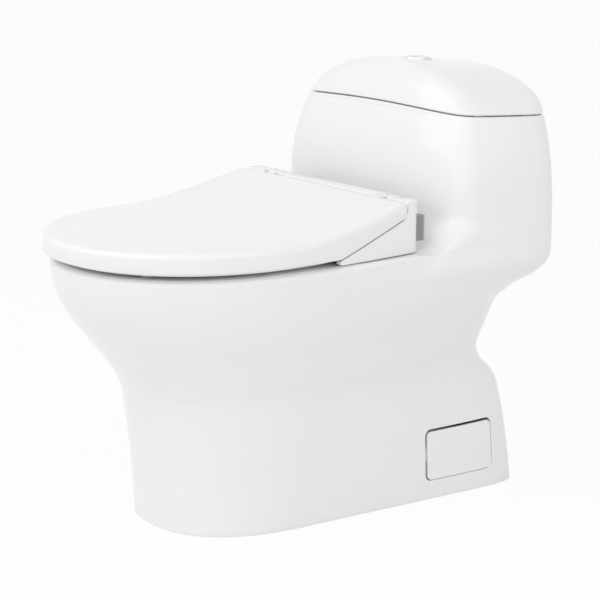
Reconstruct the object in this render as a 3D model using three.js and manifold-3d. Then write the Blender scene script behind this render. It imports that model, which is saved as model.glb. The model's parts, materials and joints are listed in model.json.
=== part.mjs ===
// One-piece toilet: a china body with its tank, a soft-close seat and the flushing parts inside.
// Millimetres, +Z up. The bowl's front is at -Y, the wall at +Y, and the foot stands on z = 0.
// A place along the body is given as its depth: the distance forward of the wall.
import * as THREE from 'three';
import { mergeVertices } from 'three/addons/utils/BufferGeometryUtils.js';
import Module from 'manifold-3d';

const wasm = await Module();
wasm.setup();

// Overall sizes of the china
const LENGTH = 698;
const RIM_OVERHANG = 7;
const RIM_HEIGHT = 381;
const RIM_HALF = 202;
const RIM_WIDEST_DEPTH = 466;
const RIM_EDGE = 10;
const RIM_LAND = 45;
const WAIST_HEIGHT = 188;
const WAIST_HALF = 140;
const WAIST_REAR_HALF = 132;
const WAIST_FRONT = 585;
const WAIST_WIDEST_DEPTH = 394;
const NECK_BACK = 54;
const FOOT_HALF = 134;
const FOOT_REAR_HALF = 142;
const FOOT_FRONT = 565;
const FOOT_WIDEST_DEPTH = 386;
const FOOT_BACK = 4;
const CHINA_WALL = 11;
const BOWL_WALL = 10;
const DECK_THICKNESS = 31;

// Tank and its lid
const TANK_REAR_HALF = 221;
const TANK_MID_SET_IN = 39;
const TANK_DEPTH = 201;
const TANK_WIDEST_DEPTH = 122;
const TANK_FILLET = 48;
const TANK_RISE = 180.5;
const TANK_TUCK = 22;
const TANK_TUCK_DROP = 52;
const SEAM_MID_SET_IN = 37;
const SEAM_REAR_SET_IN = 23;
const SEAM_DEPTH = 177;
const SEAM_ARCH = 7;
const SEAM_FALL_DEG = 2.4;
const SEAM_GAP = 1.8;
const TANK_WALL = 11;
const TANK_FLOOR_DROP = 46;
const TANK_FLOOR_WALL = 35;
const DOME_RISE = 67.5;
const DOME_LEAN = 37;
const DOME_FALL = 13;
const DOME_TURN = 26.5;
const LID_WALL = 20;
const LID_ROOF = 18;
const LIP_CLEARANCE = 3;
const LIP_DROP = 12;
const BUMPER_LENGTH = 18;
const BUMPER_WIDTH = 5;

// Bowl, trapway and flush channel
const BOWL_HALF = 143;
const BOWL_BACK = 352;
const BOWL_WIDEST_DEPTH = 490;
const SUMP_HALF = 25;
const SUMP_FRONT = 430;
const SUMP_BACK = 380;
const SUMP_WIDEST_DEPTH = 405;
const SUMP_HEIGHT = 76;
const TRAP_RADIUS = 26;
const TRAP_WALL = 9;
const WEIR_HEIGHT = 213;
const TRAP_RUN = 127;
const OUTLET_DEPTH = 305;
const HORN_RADIUS = 38;
const CHANNEL_RADIUS = 22;
const CHANNEL_HEIGHT = 284;

// Side covers and floor fixings
const COVER_LENGTH = 127;
const COVER_HEIGHT = 76.5;
const COVER_MIDDLE_DEPTH = 118.5;
const COVER_SILL = 26;
const COVER_CORNER = 10;
const COVER_GAP = 2.6;
const COVER_SETTLE = 1.8;
const COVER_THICKNESS = 4;
const CLIP_THICKNESS = 2.5;
const LUG_LENGTH = 44;
const LUG_HEIGHT = 16;
const LUG_REACH = 42;
const FLOOR_BOLT_RADIUS = 4;
const FLOOR_BOLT_INSET = 24;
const WASHER_RADIUS = 11;
const WASHER_THICKNESS = 2;
const SEAL_WIDTH = 14;
const SEAL_HEIGHT = 22;

// Seat lid, seat and hinge base
const SEAT_GAP = 10;
const SEAT_LID_HALF = 206;
const SEAT_LID_REAR_HALF = 194;
const SEAT_LID_BACK_GAP = 3;
const SEAT_LID_CORNER = 4;
const SEAT_LID_RISE = 27;
const SEAT_LID_RAMP = 37;
const SEAT_LID_CROWN = 10;
const SEAT_LID_EDGE = 9;
const SEAT_LID_WALL = 4;
const SEAT_HALF = 198;
const SEAT_FRONT_INSET = 10;
const SEAT_BACK_GAP = 21;
const SEAT_OPENING_HALF = 108;
const SEAT_OPENING_FRONT = 628;
const SEAT_OPENING_BACK = 345;
const SEAT_THICKNESS = 20;
const SEAT_LIFT = 6;
const SEAT_EDGE = 7;
const BASE_LIFT = 2;
const BASE_MARGIN = 2.5;
const BASE_SETBACK = 38.5;
const BASE_RUN = 24.5;
const BASE_CORNER = 16;
const BASE_EDGE = 3;
const BASE_WALL = 3;
const CHEEK_RUN = 123.5;
const CHEEK_THICKNESS = 12;
const CHEEK_RISE = 44.5;
const CHEEK_NOSE = 5.6;
const CHEEK_TURN = 11;
const CHEEK_GAP = 2.8;
const BUFFER_WIDTH = 12;
const BUFFER_HEIGHT = 35;
const BUFFER_CORNER = 3;
const BUFFER_REACH = 9.7;
const BUFFER_BED = 4;
const BUFFER_SILL = 14;
const HINGE_SET_IN = 12.5;
const HINGE_DROP = 8;
const BARREL_RADIUS = 8;
const HINGE_PIN_RADIUS = 3.5;
const LUG_INNER = 118.5;
const HINGE_LUG_WIDTH = 14;
const HINGE_LUG_GAP = 1.5;
const HINGE_PIN_BEDDING = 6;
const DAMPER_RADIUS = 4.2;
const DAMPER_LENGTH = 46;
const DAMPER_SHAFT = 6;
const SEAT_BOLT_SPACING = 156;
const SEAT_BOLT_EDGE = 11;
const SEAT_BOLT_GAP = 9.5;
const PLATE_SET_IN = 11;
const SEAT_BOLT_RADIUS = 4;
const SEAT_BOLT_HOLE = 8;
const PAD_RADIUS = 7;

// Flush and fill valves and the push buttons
const VALVE_SHANK_RADIUS = 29.5;
const VALVE_BORE_RADIUS = 21;
const VALVE_FLANGE_RADIUS = 45;
const VALVE_FLANGE_THICKNESS = 6;
const GASKET_THICKNESS = 2;
const CANISTER_RADIUS = 24;
const CANISTER_WALL = 3.5;
const CANISTER_TOP = 146;
const CANISTER_LIFT = 18;
const POST_RADIUS = 4;
const HEAD_HEIGHT = 24;
const HEAD_CLEARANCE = 10;
const HEAD_WALL = 3;
const FILL_VALVE_INSET = 96;
const FILL_DEPTH = 46;
const FILL_SHANK_RADIUS = 10;
const FILL_TOWER_RADIUS = 12;
const FILL_TOWER_TOP = 186;
const FILL_CAP_RADIUS = 19;
const FILL_CAP_HEIGHT = 22;
const FLOAT_RADIUS = 24;
const FLOAT_HEIGHT = 56;
const FLOAT_BASE = 104;
const NUT_HEIGHT = 9;
const NUT_RADIUS = 16;
const FILL_SEAT_WALL = 12;
const BUTTON_RADIUS = 17.5;
const BUTTON_THICKNESS = 8;
const BUTTON_PROUD = 1.5;
const BUTTON_SPLIT = 4;
const BEZEL_RADIUS = 23.5;
const BEZEL_TUBE_RADIUS = 20;
const BEZEL_FLANGE = 2.7;
const BEZEL_DEPTH = 27;
const BEZEL_FLOOR = 3;
const ROD_RADIUS = 4;
const ROD_OFFSET = 10;
const ARM_PIN_SPARE = 5.6;
const ARM_TAIL = 6;
const FOOT_WIDTH = 5;
const PLAY = 1;
const SHOULDER = 2;
const CHAMFER = 4;

// Clearances and cut overruns
const CLEARANCE = 0.3;
const LOOSE = 0.6;
const OVERRUN = 12;

// How finely round things are divided
const OUTLINE_POINTS = 44;
const INNER_POINTS = 32;
const BOWL_POINTS = 30;
const TRAP_STEPS = 18;
const CHANNEL_STEPS = 8;
const ROUND_SIDES = 18;
const SMALL_SIDES = 12;

// Heights and depths that follow from the sizes above
const WALL_Y = LENGTH / 2;
const RIM_FRONT = LENGTH - RIM_OVERHANG;
const FILLET_TOP = RIM_HEIGHT + TANK_FILLET;
const SEAM_HEIGHT = RIM_HEIGHT + TANK_RISE;
const CROWN_HEIGHT = SEAM_HEIGHT + DOME_RISE;
const TANK_MID_HALF = TANK_REAR_HALF - TANK_MID_SET_IN;
const SEAM_MID_HALF = TANK_MID_HALF - SEAM_MID_SET_IN;
const SEAM_REAR_HALF = TANK_REAR_HALF - SEAM_REAR_SET_IN;
const FILL_X = FILL_VALVE_INSET - TANK_REAR_HALF;
const VALVE_DEPTH = TANK_DEPTH * 0.48;
const TANK_FLOOR = RIM_HEIGHT - TANK_FLOOR_DROP;
const HOLLOW_TOP = RIM_HEIGHT - DECK_THICKNESS;
const TANK_UNDERSIDE = TANK_FLOOR - TANK_FLOOR_WALL;
const LID_BASE = RIM_HEIGHT + SEAT_GAP;
const LID_TOP_FRONT = LID_BASE + SEAT_LID_RISE;
const LID_TOP_REAR = LID_TOP_FRONT + SEAT_LID_RAMP;
const HINGE_HEIGHT = LID_TOP_REAR - HINGE_DROP;
const BASE_BOTTOM = RIM_HEIGHT + BASE_LIFT;
const SEAT_BOTTOM = RIM_HEIGHT + SEAT_LIFT;
const SEAT_TOP = SEAT_BOTTOM + SEAT_THICKNESS;
const SEAT_FRONT = LENGTH - SEAT_FRONT_INSET;

// The seat stands in front of the tank, so its depths follow from the tank's face
const BASE_BACK = TANK_DEPTH + BASE_SETBACK;
const BASE_FRONT = BASE_BACK + BASE_RUN;
const HINGE_DEPTH = BASE_BACK + HINGE_SET_IN;
const SEAT_LID_BACK = BASE_FRONT + SEAT_LID_BACK_GAP;
const SEAT_BACK = BASE_FRONT + SEAT_BACK_GAP;
const CHEEK_FRONT = BASE_FRONT + CHEEK_RUN;
const PLATE_BACK = BASE_BACK + PLATE_SET_IN;
const SEAT_BOLT_DEPTH = BASE_FRONT + SEAT_BOLT_GAP;
const PLATE_FRONT = SEAT_BOLT_DEPTH + SEAT_BOLT_EDGE;

// Colours and finishes
const CHINA = { color: 0xf3f3f1, roughness: 0.12, metalness: 0 };
const SEAT_PLASTIC = { color: 0xf1f1ef, roughness: 0.25, metalness: 0 };
const WHITE_PLASTIC = { color: 0xe6e7e6, roughness: 0.45, metalness: 0 };
const GREY_PLASTIC = { color: 0x8d9296, roughness: 0.5, metalness: 0 };
const BLUE_PLASTIC = { color: 0x4f7fa8, roughness: 0.5, metalness: 0 };
const BLACK_RUBBER = { color: 0x2a2a2a, roughness: 0.85, metalness: 0 };
const GREY_RUBBER = { color: 0x888887, roughness: 0.8, metalness: 0 };
const CLEAR_RUBBER = { color: 0xdcdcd6, roughness: 0.7, metalness: 0 };
const CHROME = { color: 0xd9dbdd, roughness: 0.12, metalness: 1 };
const STEEL = { color: 0xb4b6b8, roughness: 0.35, metalness: 1 };

// Small helpers
const at = (depth) => WALL_Y - depth;
const mix = (a, b, share) => a + (b - a) * share;
const clamp01 = (share) => Math.min(1, Math.max(0, share));
const ease = (share) => clamp01(share) ** 2 * (3 - 2 * clamp01(share));
const radians = THREE.MathUtils.degToRad;

// A closed geometry with shared corners, no empty triangles and its faces pointing out
function closed(geometry) {
  const bare = geometry.clone();
  bare.deleteAttribute('normal');
  bare.deleteAttribute('uv');
  const merged = mergeVertices(bare);
  const index = merged.getIndex().array;
  const kept = [];
  for (let i = 0; i < index.length; i += 3) {
    const [a, b, c] = [index[i], index[i + 1], index[i + 2]];
    if (a !== b && b !== c && c !== a) kept.push(a, b, c);
  }
  merged.setIndex(kept);
  if (volumeOf(merged) < 0) merged.setIndex(kept.reverse());
  return merged;
}

function volumeOf(geometry) {
  const place = geometry.getAttribute('position');
  const index = geometry.getIndex().array;
  const [a, b, c] = [new THREE.Vector3(), new THREE.Vector3(), new THREE.Vector3()];
  let sum = 0;
  for (let i = 0; i < index.length; i += 3) {
    a.fromBufferAttribute(place, index[i]);
    b.fromBufferAttribute(place, index[i + 1]);
    c.fromBufferAttribute(place, index[i + 2]);
    sum += a.dot(b.cross(c)) / 6;
  }
  return sum;
}

function solid(geometry) {
  const shape = closed(geometry);
  const vertProperties = new Float32Array(shape.getAttribute('position').array);
  const triVerts = new Uint32Array(shape.getIndex().array);
  return new wasm.Manifold(new wasm.Mesh({ numProp: 3, vertProperties, triVerts }));
}

function geometryOf(shape) {
  const mesh = shape.getMesh();
  const geometry = new THREE.BufferGeometry();
  const corners = new THREE.BufferAttribute(new Float32Array(mesh.vertProperties), 3);
  geometry.setAttribute('position', corners);
  geometry.setIndex(new THREE.BufferAttribute(new Uint32Array(mesh.triVerts), 1));
  return geometry;
}

const joined = (first, ...rest) => rest.reduce((sum, next) => sum.add(next), first);
const cutBy = (first, ...rest) => rest.reduce((left, next) => left.subtract(next), first);

// A solid through rings of equally many points, closed at both ends about each ring's middle
function loft(rings) {
  const count = rings[0].length;
  const middle = (ring) => ring
    .reduce((sum, point) => sum.add(point), new THREE.Vector3())
    .divideScalar(count);
  const points = [...rings.flat(), middle(rings[0]), middle(rings[rings.length - 1])];
  const first = rings.length * count;
  const index = [];
  for (let k = 0; k < rings.length - 1; k++) {
    for (let i = 0; i < count; i++) {
      const j = (i + 1) % count;
      const [a, b] = [k * count + i, k * count + j];
      index.push(a, b, b + count, a, b + count, a + count);
    }
  }
  const top = (rings.length - 1) * count;
  for (let i = 0; i < count; i++) {
    const j = (i + 1) % count;
    index.push(first, j, i, first + 1, top + i, top + j);
  }
  const geometry = new THREE.BufferGeometry();
  geometry.setFromPoints(points);
  geometry.setIndex(index);
  return geometry;
}

// Basic bodies, each standing on its own z = 0 or centred on it where its name says so
function drum(radius, height, sides = ROUND_SIDES) {
  const geometry = new THREE.CylinderGeometry(radius, radius, height, sides);
  return geometry.rotateX(Math.PI / 2).translate(0, 0, height / 2);
}

function turned(profile, sides = ROUND_SIDES) {
  const points = profile.map(([radius, height]) => new THREE.Vector2(radius, height));
  return new THREE.LatheGeometry(points, sides).rotateX(Math.PI / 2);
}

function tube(outer, inner, height, sides = ROUND_SIDES) {
  return turned([[inner, 0], [outer, 0], [outer, height], [inner, height], [inner, 0]], sides);
}

function block(width, depth, height) {
  return new THREE.BoxGeometry(width, depth, height).translate(0, 0, height / 2);
}

// A bar along X whose section is drawn as [depth, height] points
function barAlongX(section, fromX, toX) {
  const shape = new THREE.Shape(section.map(([d, z]) => new THREE.Vector2(at(d), z)));
  const geometry = new THREE.ExtrudeGeometry(shape, { depth: toX - fromX, bevelEnabled: false });
  return geometry.rotateX(Math.PI / 2).rotateZ(Math.PI / 2).translate(fromX, 0, 0);
}

const drumAlongX = (radius, fromX, toX, sides = ROUND_SIDES) => drum(radius, toX - fromX, sides)
  .rotateY(Math.PI / 2).translate(fromX, 0, 0);

// The plan outline shared by the china's levels: a rounded front half and a rounded-square rear
// half that meet at the level's widest depth, with sides that widen towards the wall
function halfWidthAt(level, depth) {
  return mix(level.mid, level.rear, ease((RIM_WIDEST_DEPTH - depth) / RIM_WIDEST_DEPTH));
}

function outlinePoint(level, angle) {
  const [side, along] = [Math.cos(angle), Math.sin(angle)];
  const power = 2 / (along < 0 ? level.frontPower : level.rearPower);
  const reach = along < 0 ? level.front - level.widest : level.widest - level.back;
  const depth = level.widest - Math.sign(along) * reach * Math.abs(along) ** power;
  const x = Math.sign(side) * Math.abs(side) ** power * halfWidthAt(level, depth);
  return new THREE.Vector3(x, at(depth), level.z);
}

// Points are spread so that the corners of a squarer outline still get their share
function outline(level, count = OUTLINE_POINTS) {
  const points = [];
  for (let i = 0; i < count; i++) {
    const turn = (2 * Math.PI * (i + 0.5)) / count;
    const spread = turn - 0.18 * Math.sin(4 * turn);
    points.push(outlinePoint(level, spread));
  }
  return points;
}

const inset = (level, by) => ({
  ...level,
  mid: level.mid - by,
  rear: level.rear - by,
  front: level.front - by,
  back: level.back + by,
});

// The body's key levels
const FOOT_LEVEL = {
  z: 0, mid: FOOT_HALF, rear: FOOT_REAR_HALF, front: FOOT_FRONT, widest: FOOT_WIDEST_DEPTH,
  back: FOOT_BACK, frontPower: 2.5, rearPower: 14,
};
const WAIST_LEVEL = {
  z: WAIST_HEIGHT, mid: WAIST_HALF, rear: WAIST_REAR_HALF, front: WAIST_FRONT,
  widest: WAIST_WIDEST_DEPTH, back: NECK_BACK, frontPower: 2.4, rearPower: 7,
};
const RIM_LEVEL = {
  z: RIM_HEIGHT, mid: RIM_HALF, rear: TANK_REAR_HALF, front: RIM_FRONT,
  widest: RIM_WIDEST_DEPTH, back: 0, frontPower: 2.1, rearPower: 10,
};

// Rows between two key levels: height, girth, rear width, set-in from the wall, rear squareness
const pedestalShares = [
  [0, 0, 0, 0.07, 14],
  [0.32, 0.1, 0.3, 0.15, 12],
  [0.8, 0.6, 1, 0.34, 9],
  [0.91, 0.8, 1.05, 0.48, 8],
];
const flankShares = [
  [0, 0, 0, 0.8, 7],
  [0.14, 0.14, 0.135, 1, 6],
  [0.32, 0.39, 0.34, 0.87, 6],
  [0.53, 0.68, 0.584, 0.78, 6],
  [0.62, 0.79, 0.764, 0.44, 6],
  [0.736, 0.893, 0.9, 0.07, 8],
  [0.87, 0.965, 0.98, 0, 9],
];

function levelBetween(low, high, [height, girth, rearWidth, setIn, rearPower]) {
  return {
    z: mix(low.z, high.z, height),
    mid: mix(low.mid, high.mid, girth),
    rear: mix(low.rear, high.rear, rearWidth),
    front: mix(low.front, high.front, girth),
    widest: mix(low.widest, high.widest, girth),
    back: NECK_BACK * setIn,
    frontPower: mix(low.frontPower, high.frontPower, girth),
    rearPower,
  };
}

const bodyLevels = [
  ...pedestalShares.map((row) => levelBetween(FOOT_LEVEL, WAIST_LEVEL, row)),
  ...flankShares.map((row) => levelBetween(WAIST_LEVEL, RIM_LEVEL, row)),
];

// The rim's outer edge is rounded, and the rounding dies out where the tank begins
function rimEdgeRing(angle) {
  const away = RIM_EDGE * (1 - Math.cos(angle));
  const z = RIM_HEIGHT - RIM_EDGE * (1 - Math.sin(angle));
  const tankFoot = TANK_DEPTH + TANK_FILLET;
  return outline({ ...RIM_LEVEL, z }).map((point) => {
    const depth = WALL_Y - point.y;
    const fade = ease((depth - tankFoot) / (RIM_WIDEST_DEPTH - tankFoot));
    const ahead = clamp01((depth - RIM_WIDEST_DEPTH) / (RIM_FRONT - RIM_WIDEST_DEPTH));
    point.x *= 1 - (away * fade) / RIM_HALF;
    point.y += away * ahead;
    return point;
  });
}

function bodyOutside() {
  const rings = bodyLevels.map((level) => outline(level));
  for (const angle of [0, 30, 60, 90]) rings.push(rimEdgeRing(radians(angle)));
  return solid(loft(rings));
}

// The tank stands on the rim with a hollow fillet in front, and draws in towards the seam
function tankLevel(z, by = 0) {
  const tuck = by ? TANK_FLOOR : FILLET_TOP;
  const rise = clamp01((z - FILLET_TOP) / (SEAM_HEIGHT - FILLET_TOP)) ** 2.3;
  const foot = clamp01((FILLET_TOP - z) / TANK_FILLET);
  const sweep = by ? 0 : TANK_FILLET * (1 - Math.sqrt(1 - foot ** 2));
  const level = {
    z,
    mid: mix(mix(TANK_MID_HALF, RIM_HALF, by ? 0 : ease(foot)), SEAM_MID_HALF, rise),
    rear: mix(TANK_REAR_HALF, SEAM_REAR_HALF, rise),
    front: mix(TANK_DEPTH, SEAM_DEPTH, rise) + sweep,
    widest: TANK_WIDEST_DEPTH,
    back: 0,
    frontPower: mix(4.7, 14, by ? 0 : foot ** 2),
    rearPower: mix(8.5, 7.4, clamp01((z - tuck) / (SEAM_HEIGHT - tuck))),
  };
  return by ? inset(level, by) : level;
}

// Above the seam the same outline closes into an arch that leans back and falls to the rear
function domeRing(share, by = 0, roof = 0, count = OUTLINE_POINTS) {
  const crown = DOME_RISE - roof;
  const arch = (rise) => (1 - ((rise + DOME_TURN) / (crown + DOME_TURN)) ** 2.2) ** (1 / 2.2);
  const rise = share * crown;
  const narrowing = arch(rise) / arch(0);
  const level = tankLevel(SEAM_HEIGHT, by);
  const front = level.front - DOME_LEAN * (rise / DOME_RISE) ** 2;
  const ring = outline({
    ...level,
    z: SEAM_HEIGHT + rise,
    mid: level.mid * narrowing,
    rear: level.rear * narrowing,
    front,
    widest: Math.min(level.widest, (front + level.back) / 2 + level.widest / 8),
  }, count);
  return ring.map((point) => {
    const depth = WALL_Y - point.y;
    point.z -= DOME_FALL * share * clamp01(1 - depth / (SEAM_DEPTH - DOME_LEAN));
    return point;
  });
}

const filletAngles = [0, 22, 45, 68, 90].map(radians);
const tuckShares = [1, 0.8, 0.6, 0.4, 0.2];
const tuckBy = (share) => TANK_TUCK * share ** 3.5;
const tankShares = [0.25, 0.5, 0.72, 0.88, 1];
const domeShares = [0.24, 0.47, 0.67, 0.82, 0.92, 0.98];

function tower() {
  const heights = filletAngles.map((angle) => RIM_HEIGHT + TANK_FILLET * (1 - Math.cos(angle)));
  heights.push(...tankShares.map((share) => mix(FILLET_TOP, SEAM_HEIGHT, share)));
  const rings = tuckShares.map((share) => outline({
    ...inset(tankLevel(RIM_HEIGHT), tuckBy(share)), z: RIM_HEIGHT - TANK_TUCK_DROP * share,
  }));
  rings.push(...heights.map((z) => outline(tankLevel(z))));
  rings.push(...domeShares.map((share) => domeRing(share)));
  return solid(loft(rings));
}

// Everything above the seam, which arches over the front and falls towards the wall
function aboveSeam(lift) {
  const reach = TANK_REAR_HALF + OVERRUN;
  const steps = 12;
  const points = [];
  for (let i = 0; i <= steps; i++) {
    const x = reach * ((2 * i) / steps - 1);
    points.push(new THREE.Vector2(x, SEAM_ARCH * (1 - (x / SEAM_REAR_HALF) ** 2) + lift));
  }
  points.push(new THREE.Vector2(reach, DOME_RISE * 2), new THREE.Vector2(-reach, DOME_RISE * 2));
  const run = TANK_DEPTH + OVERRUN * 2;
  const slab = new THREE.ExtrudeGeometry(new THREE.Shape(points), { depth: run, bevelEnabled: false });
  slab.rotateX(Math.PI / 2).translate(0, run - OVERRUN, 0);
  slab.rotateX(-radians(SEAM_FALL_DEG)).translate(0, at(SEAM_DEPTH), SEAM_HEIGHT);
  return solid(slab);
}

function seamHeightAt(x, depth) {
  const fall = Math.tan(radians(SEAM_FALL_DEG)) * (SEAM_DEPTH - depth);
  return SEAM_HEIGHT + SEAM_ARCH * (1 - (x / SEAM_REAR_HALF) ** 2) - fall;
}

// Inside the tank: straight down from the opening to a flat floor
function tankCavity() {
  const floorSetIn = tuckBy(TANK_FLOOR_DROP / TANK_TUCK_DROP);
  const rings = [
    outline({ ...inset(tankLevel(FILLET_TOP, TANK_WALL), floorSetIn), z: TANK_FLOOR }, INNER_POINTS),
    outline({ ...tankLevel(FILLET_TOP, TANK_WALL), z: mix(TANK_FLOOR, FILLET_TOP, 0.4) },
      INNER_POINTS),
    outline(tankLevel(FILLET_TOP, TANK_WALL), INNER_POINTS),
    ...tankShares.map((share) => (
      outline(tankLevel(mix(FILLET_TOP, SEAM_HEIGHT, share), TANK_WALL), INNER_POINTS)
    )),
    outline({ ...tankLevel(SEAM_HEIGHT, TANK_WALL), z: CROWN_HEIGHT }, INNER_POINTS),
  ];
  return solid(loft(rings));
}

// Bowl levels, from the sump up: height, half-width, front and back shares of their full growth
const bowlShares = [
  [0, 0, 0, 0],
  [0.09, 0.1, 0.07, 0.25],
  [0.21, 0.18, 0.12, 0.42],
  [0.34, 0.33, 0.24, 0.64],
  [0.5, 0.6, 0.49, 0.85],
  [0.7, 0.87, 0.79, 1.02],
  [0.87, 1, 0.95, 1.07],
  [0.965, 1.03, 1.01, 1.07],
  [1, 1, 1, 1],
];

function bowl(by, topHeight) {
  const rings = bowlShares.map(([height, width, front, back]) => {
    const level = {
      z: mix(SUMP_HEIGHT, RIM_HEIGHT, height),
      mid: mix(SUMP_HALF, BOWL_HALF, width) + by,
      rear: mix(SUMP_HALF, BOWL_HALF, width) + by,
      front: mix(SUMP_FRONT, RIM_FRONT - RIM_LAND, front) + by,
      widest: mix(SUMP_WIDEST_DEPTH, BOWL_WIDEST_DEPTH, height),
      back: mix(SUMP_BACK, BOWL_BACK, back) - by,
      frontPower: 2.15,
      rearPower: 2.3,
    };
    level.z = height === 0 ? SUMP_HEIGHT - by : Math.min(level.z, topHeight + height);
    return outline(level, BOWL_POINTS);
  });
  if (!by) rings.push(rings[rings.length - 1].map((point) => point.clone().setZ(topHeight)));
  return solid(loft(rings));
}

// Passages are swept round tubes whose middle line lies in the mirror plane
function sweep(places, radius, steps) {
  const line = new THREE.CatmullRomCurve3(places.map(([d, z]) => new THREE.Vector3(0, at(d), z)));
  const ring = new THREE.Shape();
  ring.absarc(0, 0, radius, 0, 2 * Math.PI);
  const options = { steps, extrudePath: line, curveSegments: 6, bevelEnabled: false };
  return solid(new THREE.ExtrudeGeometry(ring, options));
}

// Up from the sump over the weir, then down and forward to the floor outlet. The rising rows
// place the middle line from the trap's back to the sump, the falling rows from there to the
// outlet, and both place it in height from the outlet to the weir.
const trapRiseShares = [
  [1, 0.406], [0.775, 0.406], [0.604, 0.583], [0.471, 0.824], [0.317, 1], [0.141, 0.99],
  [0.018, 0.78], [0, 0.53],
];
const trapFallShares = [[0.213, 0.33], [0.606, 0.214], [0.898, 0.128], [1, 0]];
const trapBack = OUTLET_DEPTH - TRAP_RUN;
const trapPlace = (toDepth) => ([along, up]) => [
  mix(trapBack, toDepth, along), mix(TRAP_RADIUS, WEIR_HEIGHT, up),
];
const trapRoute = [
  ...trapRiseShares.map(trapPlace(SUMP_WIDEST_DEPTH)),
  ...trapFallShares.map(trapPlace(OUTLET_DEPTH)),
];

// From the flush valve's hole forward under the deck into the back of the bowl
const channelRoute = [
  [VALVE_DEPTH, TANK_FLOOR - VALVE_SHANK_RADIUS / 2],
  [VALVE_DEPTH + CHANNEL_RADIUS / 2, mix(TANK_FLOOR, CHANNEL_HEIGHT, 0.6)],
  [VALVE_DEPTH + 2 * CHANNEL_RADIUS, CHANNEL_HEIGHT],
  [mix(VALVE_DEPTH, BOWL_BACK, 0.6), CHANNEL_HEIGHT],
  [BOWL_BACK + BOWL_WALL, CHANNEL_HEIGHT],
];

// The pedestal is cast hollow and open underneath
function pedestalHollow() {
  const levels = bodyLevels.filter((level) => level.z < HOLLOW_TOP - OVERRUN);
  const rings = levels.map((level) => outline(inset(level, CHINA_WALL), INNER_POINTS));
  rings.unshift(outline({ ...inset(levels[0], CHINA_WALL), z: -OVERRUN }, INNER_POINTS));
  const last = levels[levels.length - 1];
  rings.push(outline({ ...inset(last, CHINA_WALL), z: HOLLOW_TOP }, INNER_POINTS));
  const underTank = block(2 * TANK_REAR_HALF, TANK_DEPTH + 2 * TANK_WALL, RIM_HEIGHT)
    .translate(0, at((TANK_DEPTH + 2 * TANK_WALL) / 2), TANK_UNDERSIDE);
  return cutBy(solid(loft(rings)), solid(underTank));
}

function roundedRectangle(width, height, corner) {
  const [w, h] = [width / 2, height / 2];
  const shape = new THREE.Shape();
  shape.absarc(w - corner, h - corner, corner, 0, Math.PI / 2);
  shape.absarc(corner - w, h - corner, corner, Math.PI / 2, Math.PI);
  shape.absarc(corner - w, corner - h, corner, Math.PI, 1.5 * Math.PI);
  shape.absarc(w - corner, corner - h, corner, 1.5 * Math.PI, 2 * Math.PI);
  return shape;
}

// A prism along X with the side cover's outline, less a margin, on the given side
function coverPrism(side, margin, fromX, toX) {
  const [length, height] = [COVER_LENGTH - 2 * margin, COVER_HEIGHT - 2 * margin];
  const shape = roundedRectangle(length, height, COVER_CORNER - margin);
  const options = { depth: toX - fromX, bevelEnabled: false, curveSegments: 4 };
  const prism = new THREE.ExtrudeGeometry(shape, options).rotateX(Math.PI / 2).rotateZ(Math.PI / 2);
  const middle = COVER_SILL + COVER_HEIGHT / 2;
  prism.translate(side > 0 ? fromX : -toX, at(COVER_MIDDLE_DEPTH), middle);
  return solid(prism);
}

const COVER_REACH = FOOT_HALF - CHINA_WALL - OVERRUN;
const COVER_FAR = FOOT_REAR_HALF + OVERRUN;
const LUG_FAR = halfWidthAt(FOOT_LEVEL, COVER_MIDDLE_DEPTH) - CHINA_WALL / 2;
const FLOOR_BOLT_X = LUG_FAR - FLOOR_BOLT_INSET;

// The cover lies low and to the rear in its hole
const coverHole = (side) => coverPrism(side, 0, COVER_REACH, COVER_FAR)
  .translate(0, -COVER_SETTLE, COVER_SETTLE);

// A foot lug inside each cover takes the floor bolt
function footLug(side) {
  const lug = block(LUG_REACH, LUG_LENGTH, LUG_HEIGHT)
    .translate(side * (LUG_FAR - LUG_REACH / 2), at(COVER_MIDDLE_DEPTH), 0);
  return solid(lug);
}

function drilled(radius, x, depth, fromZ, toZ, sides = SMALL_SIDES) {
  return solid(drum(radius, toZ - fromZ, sides).translate(x, at(depth), fromZ));
}

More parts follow.
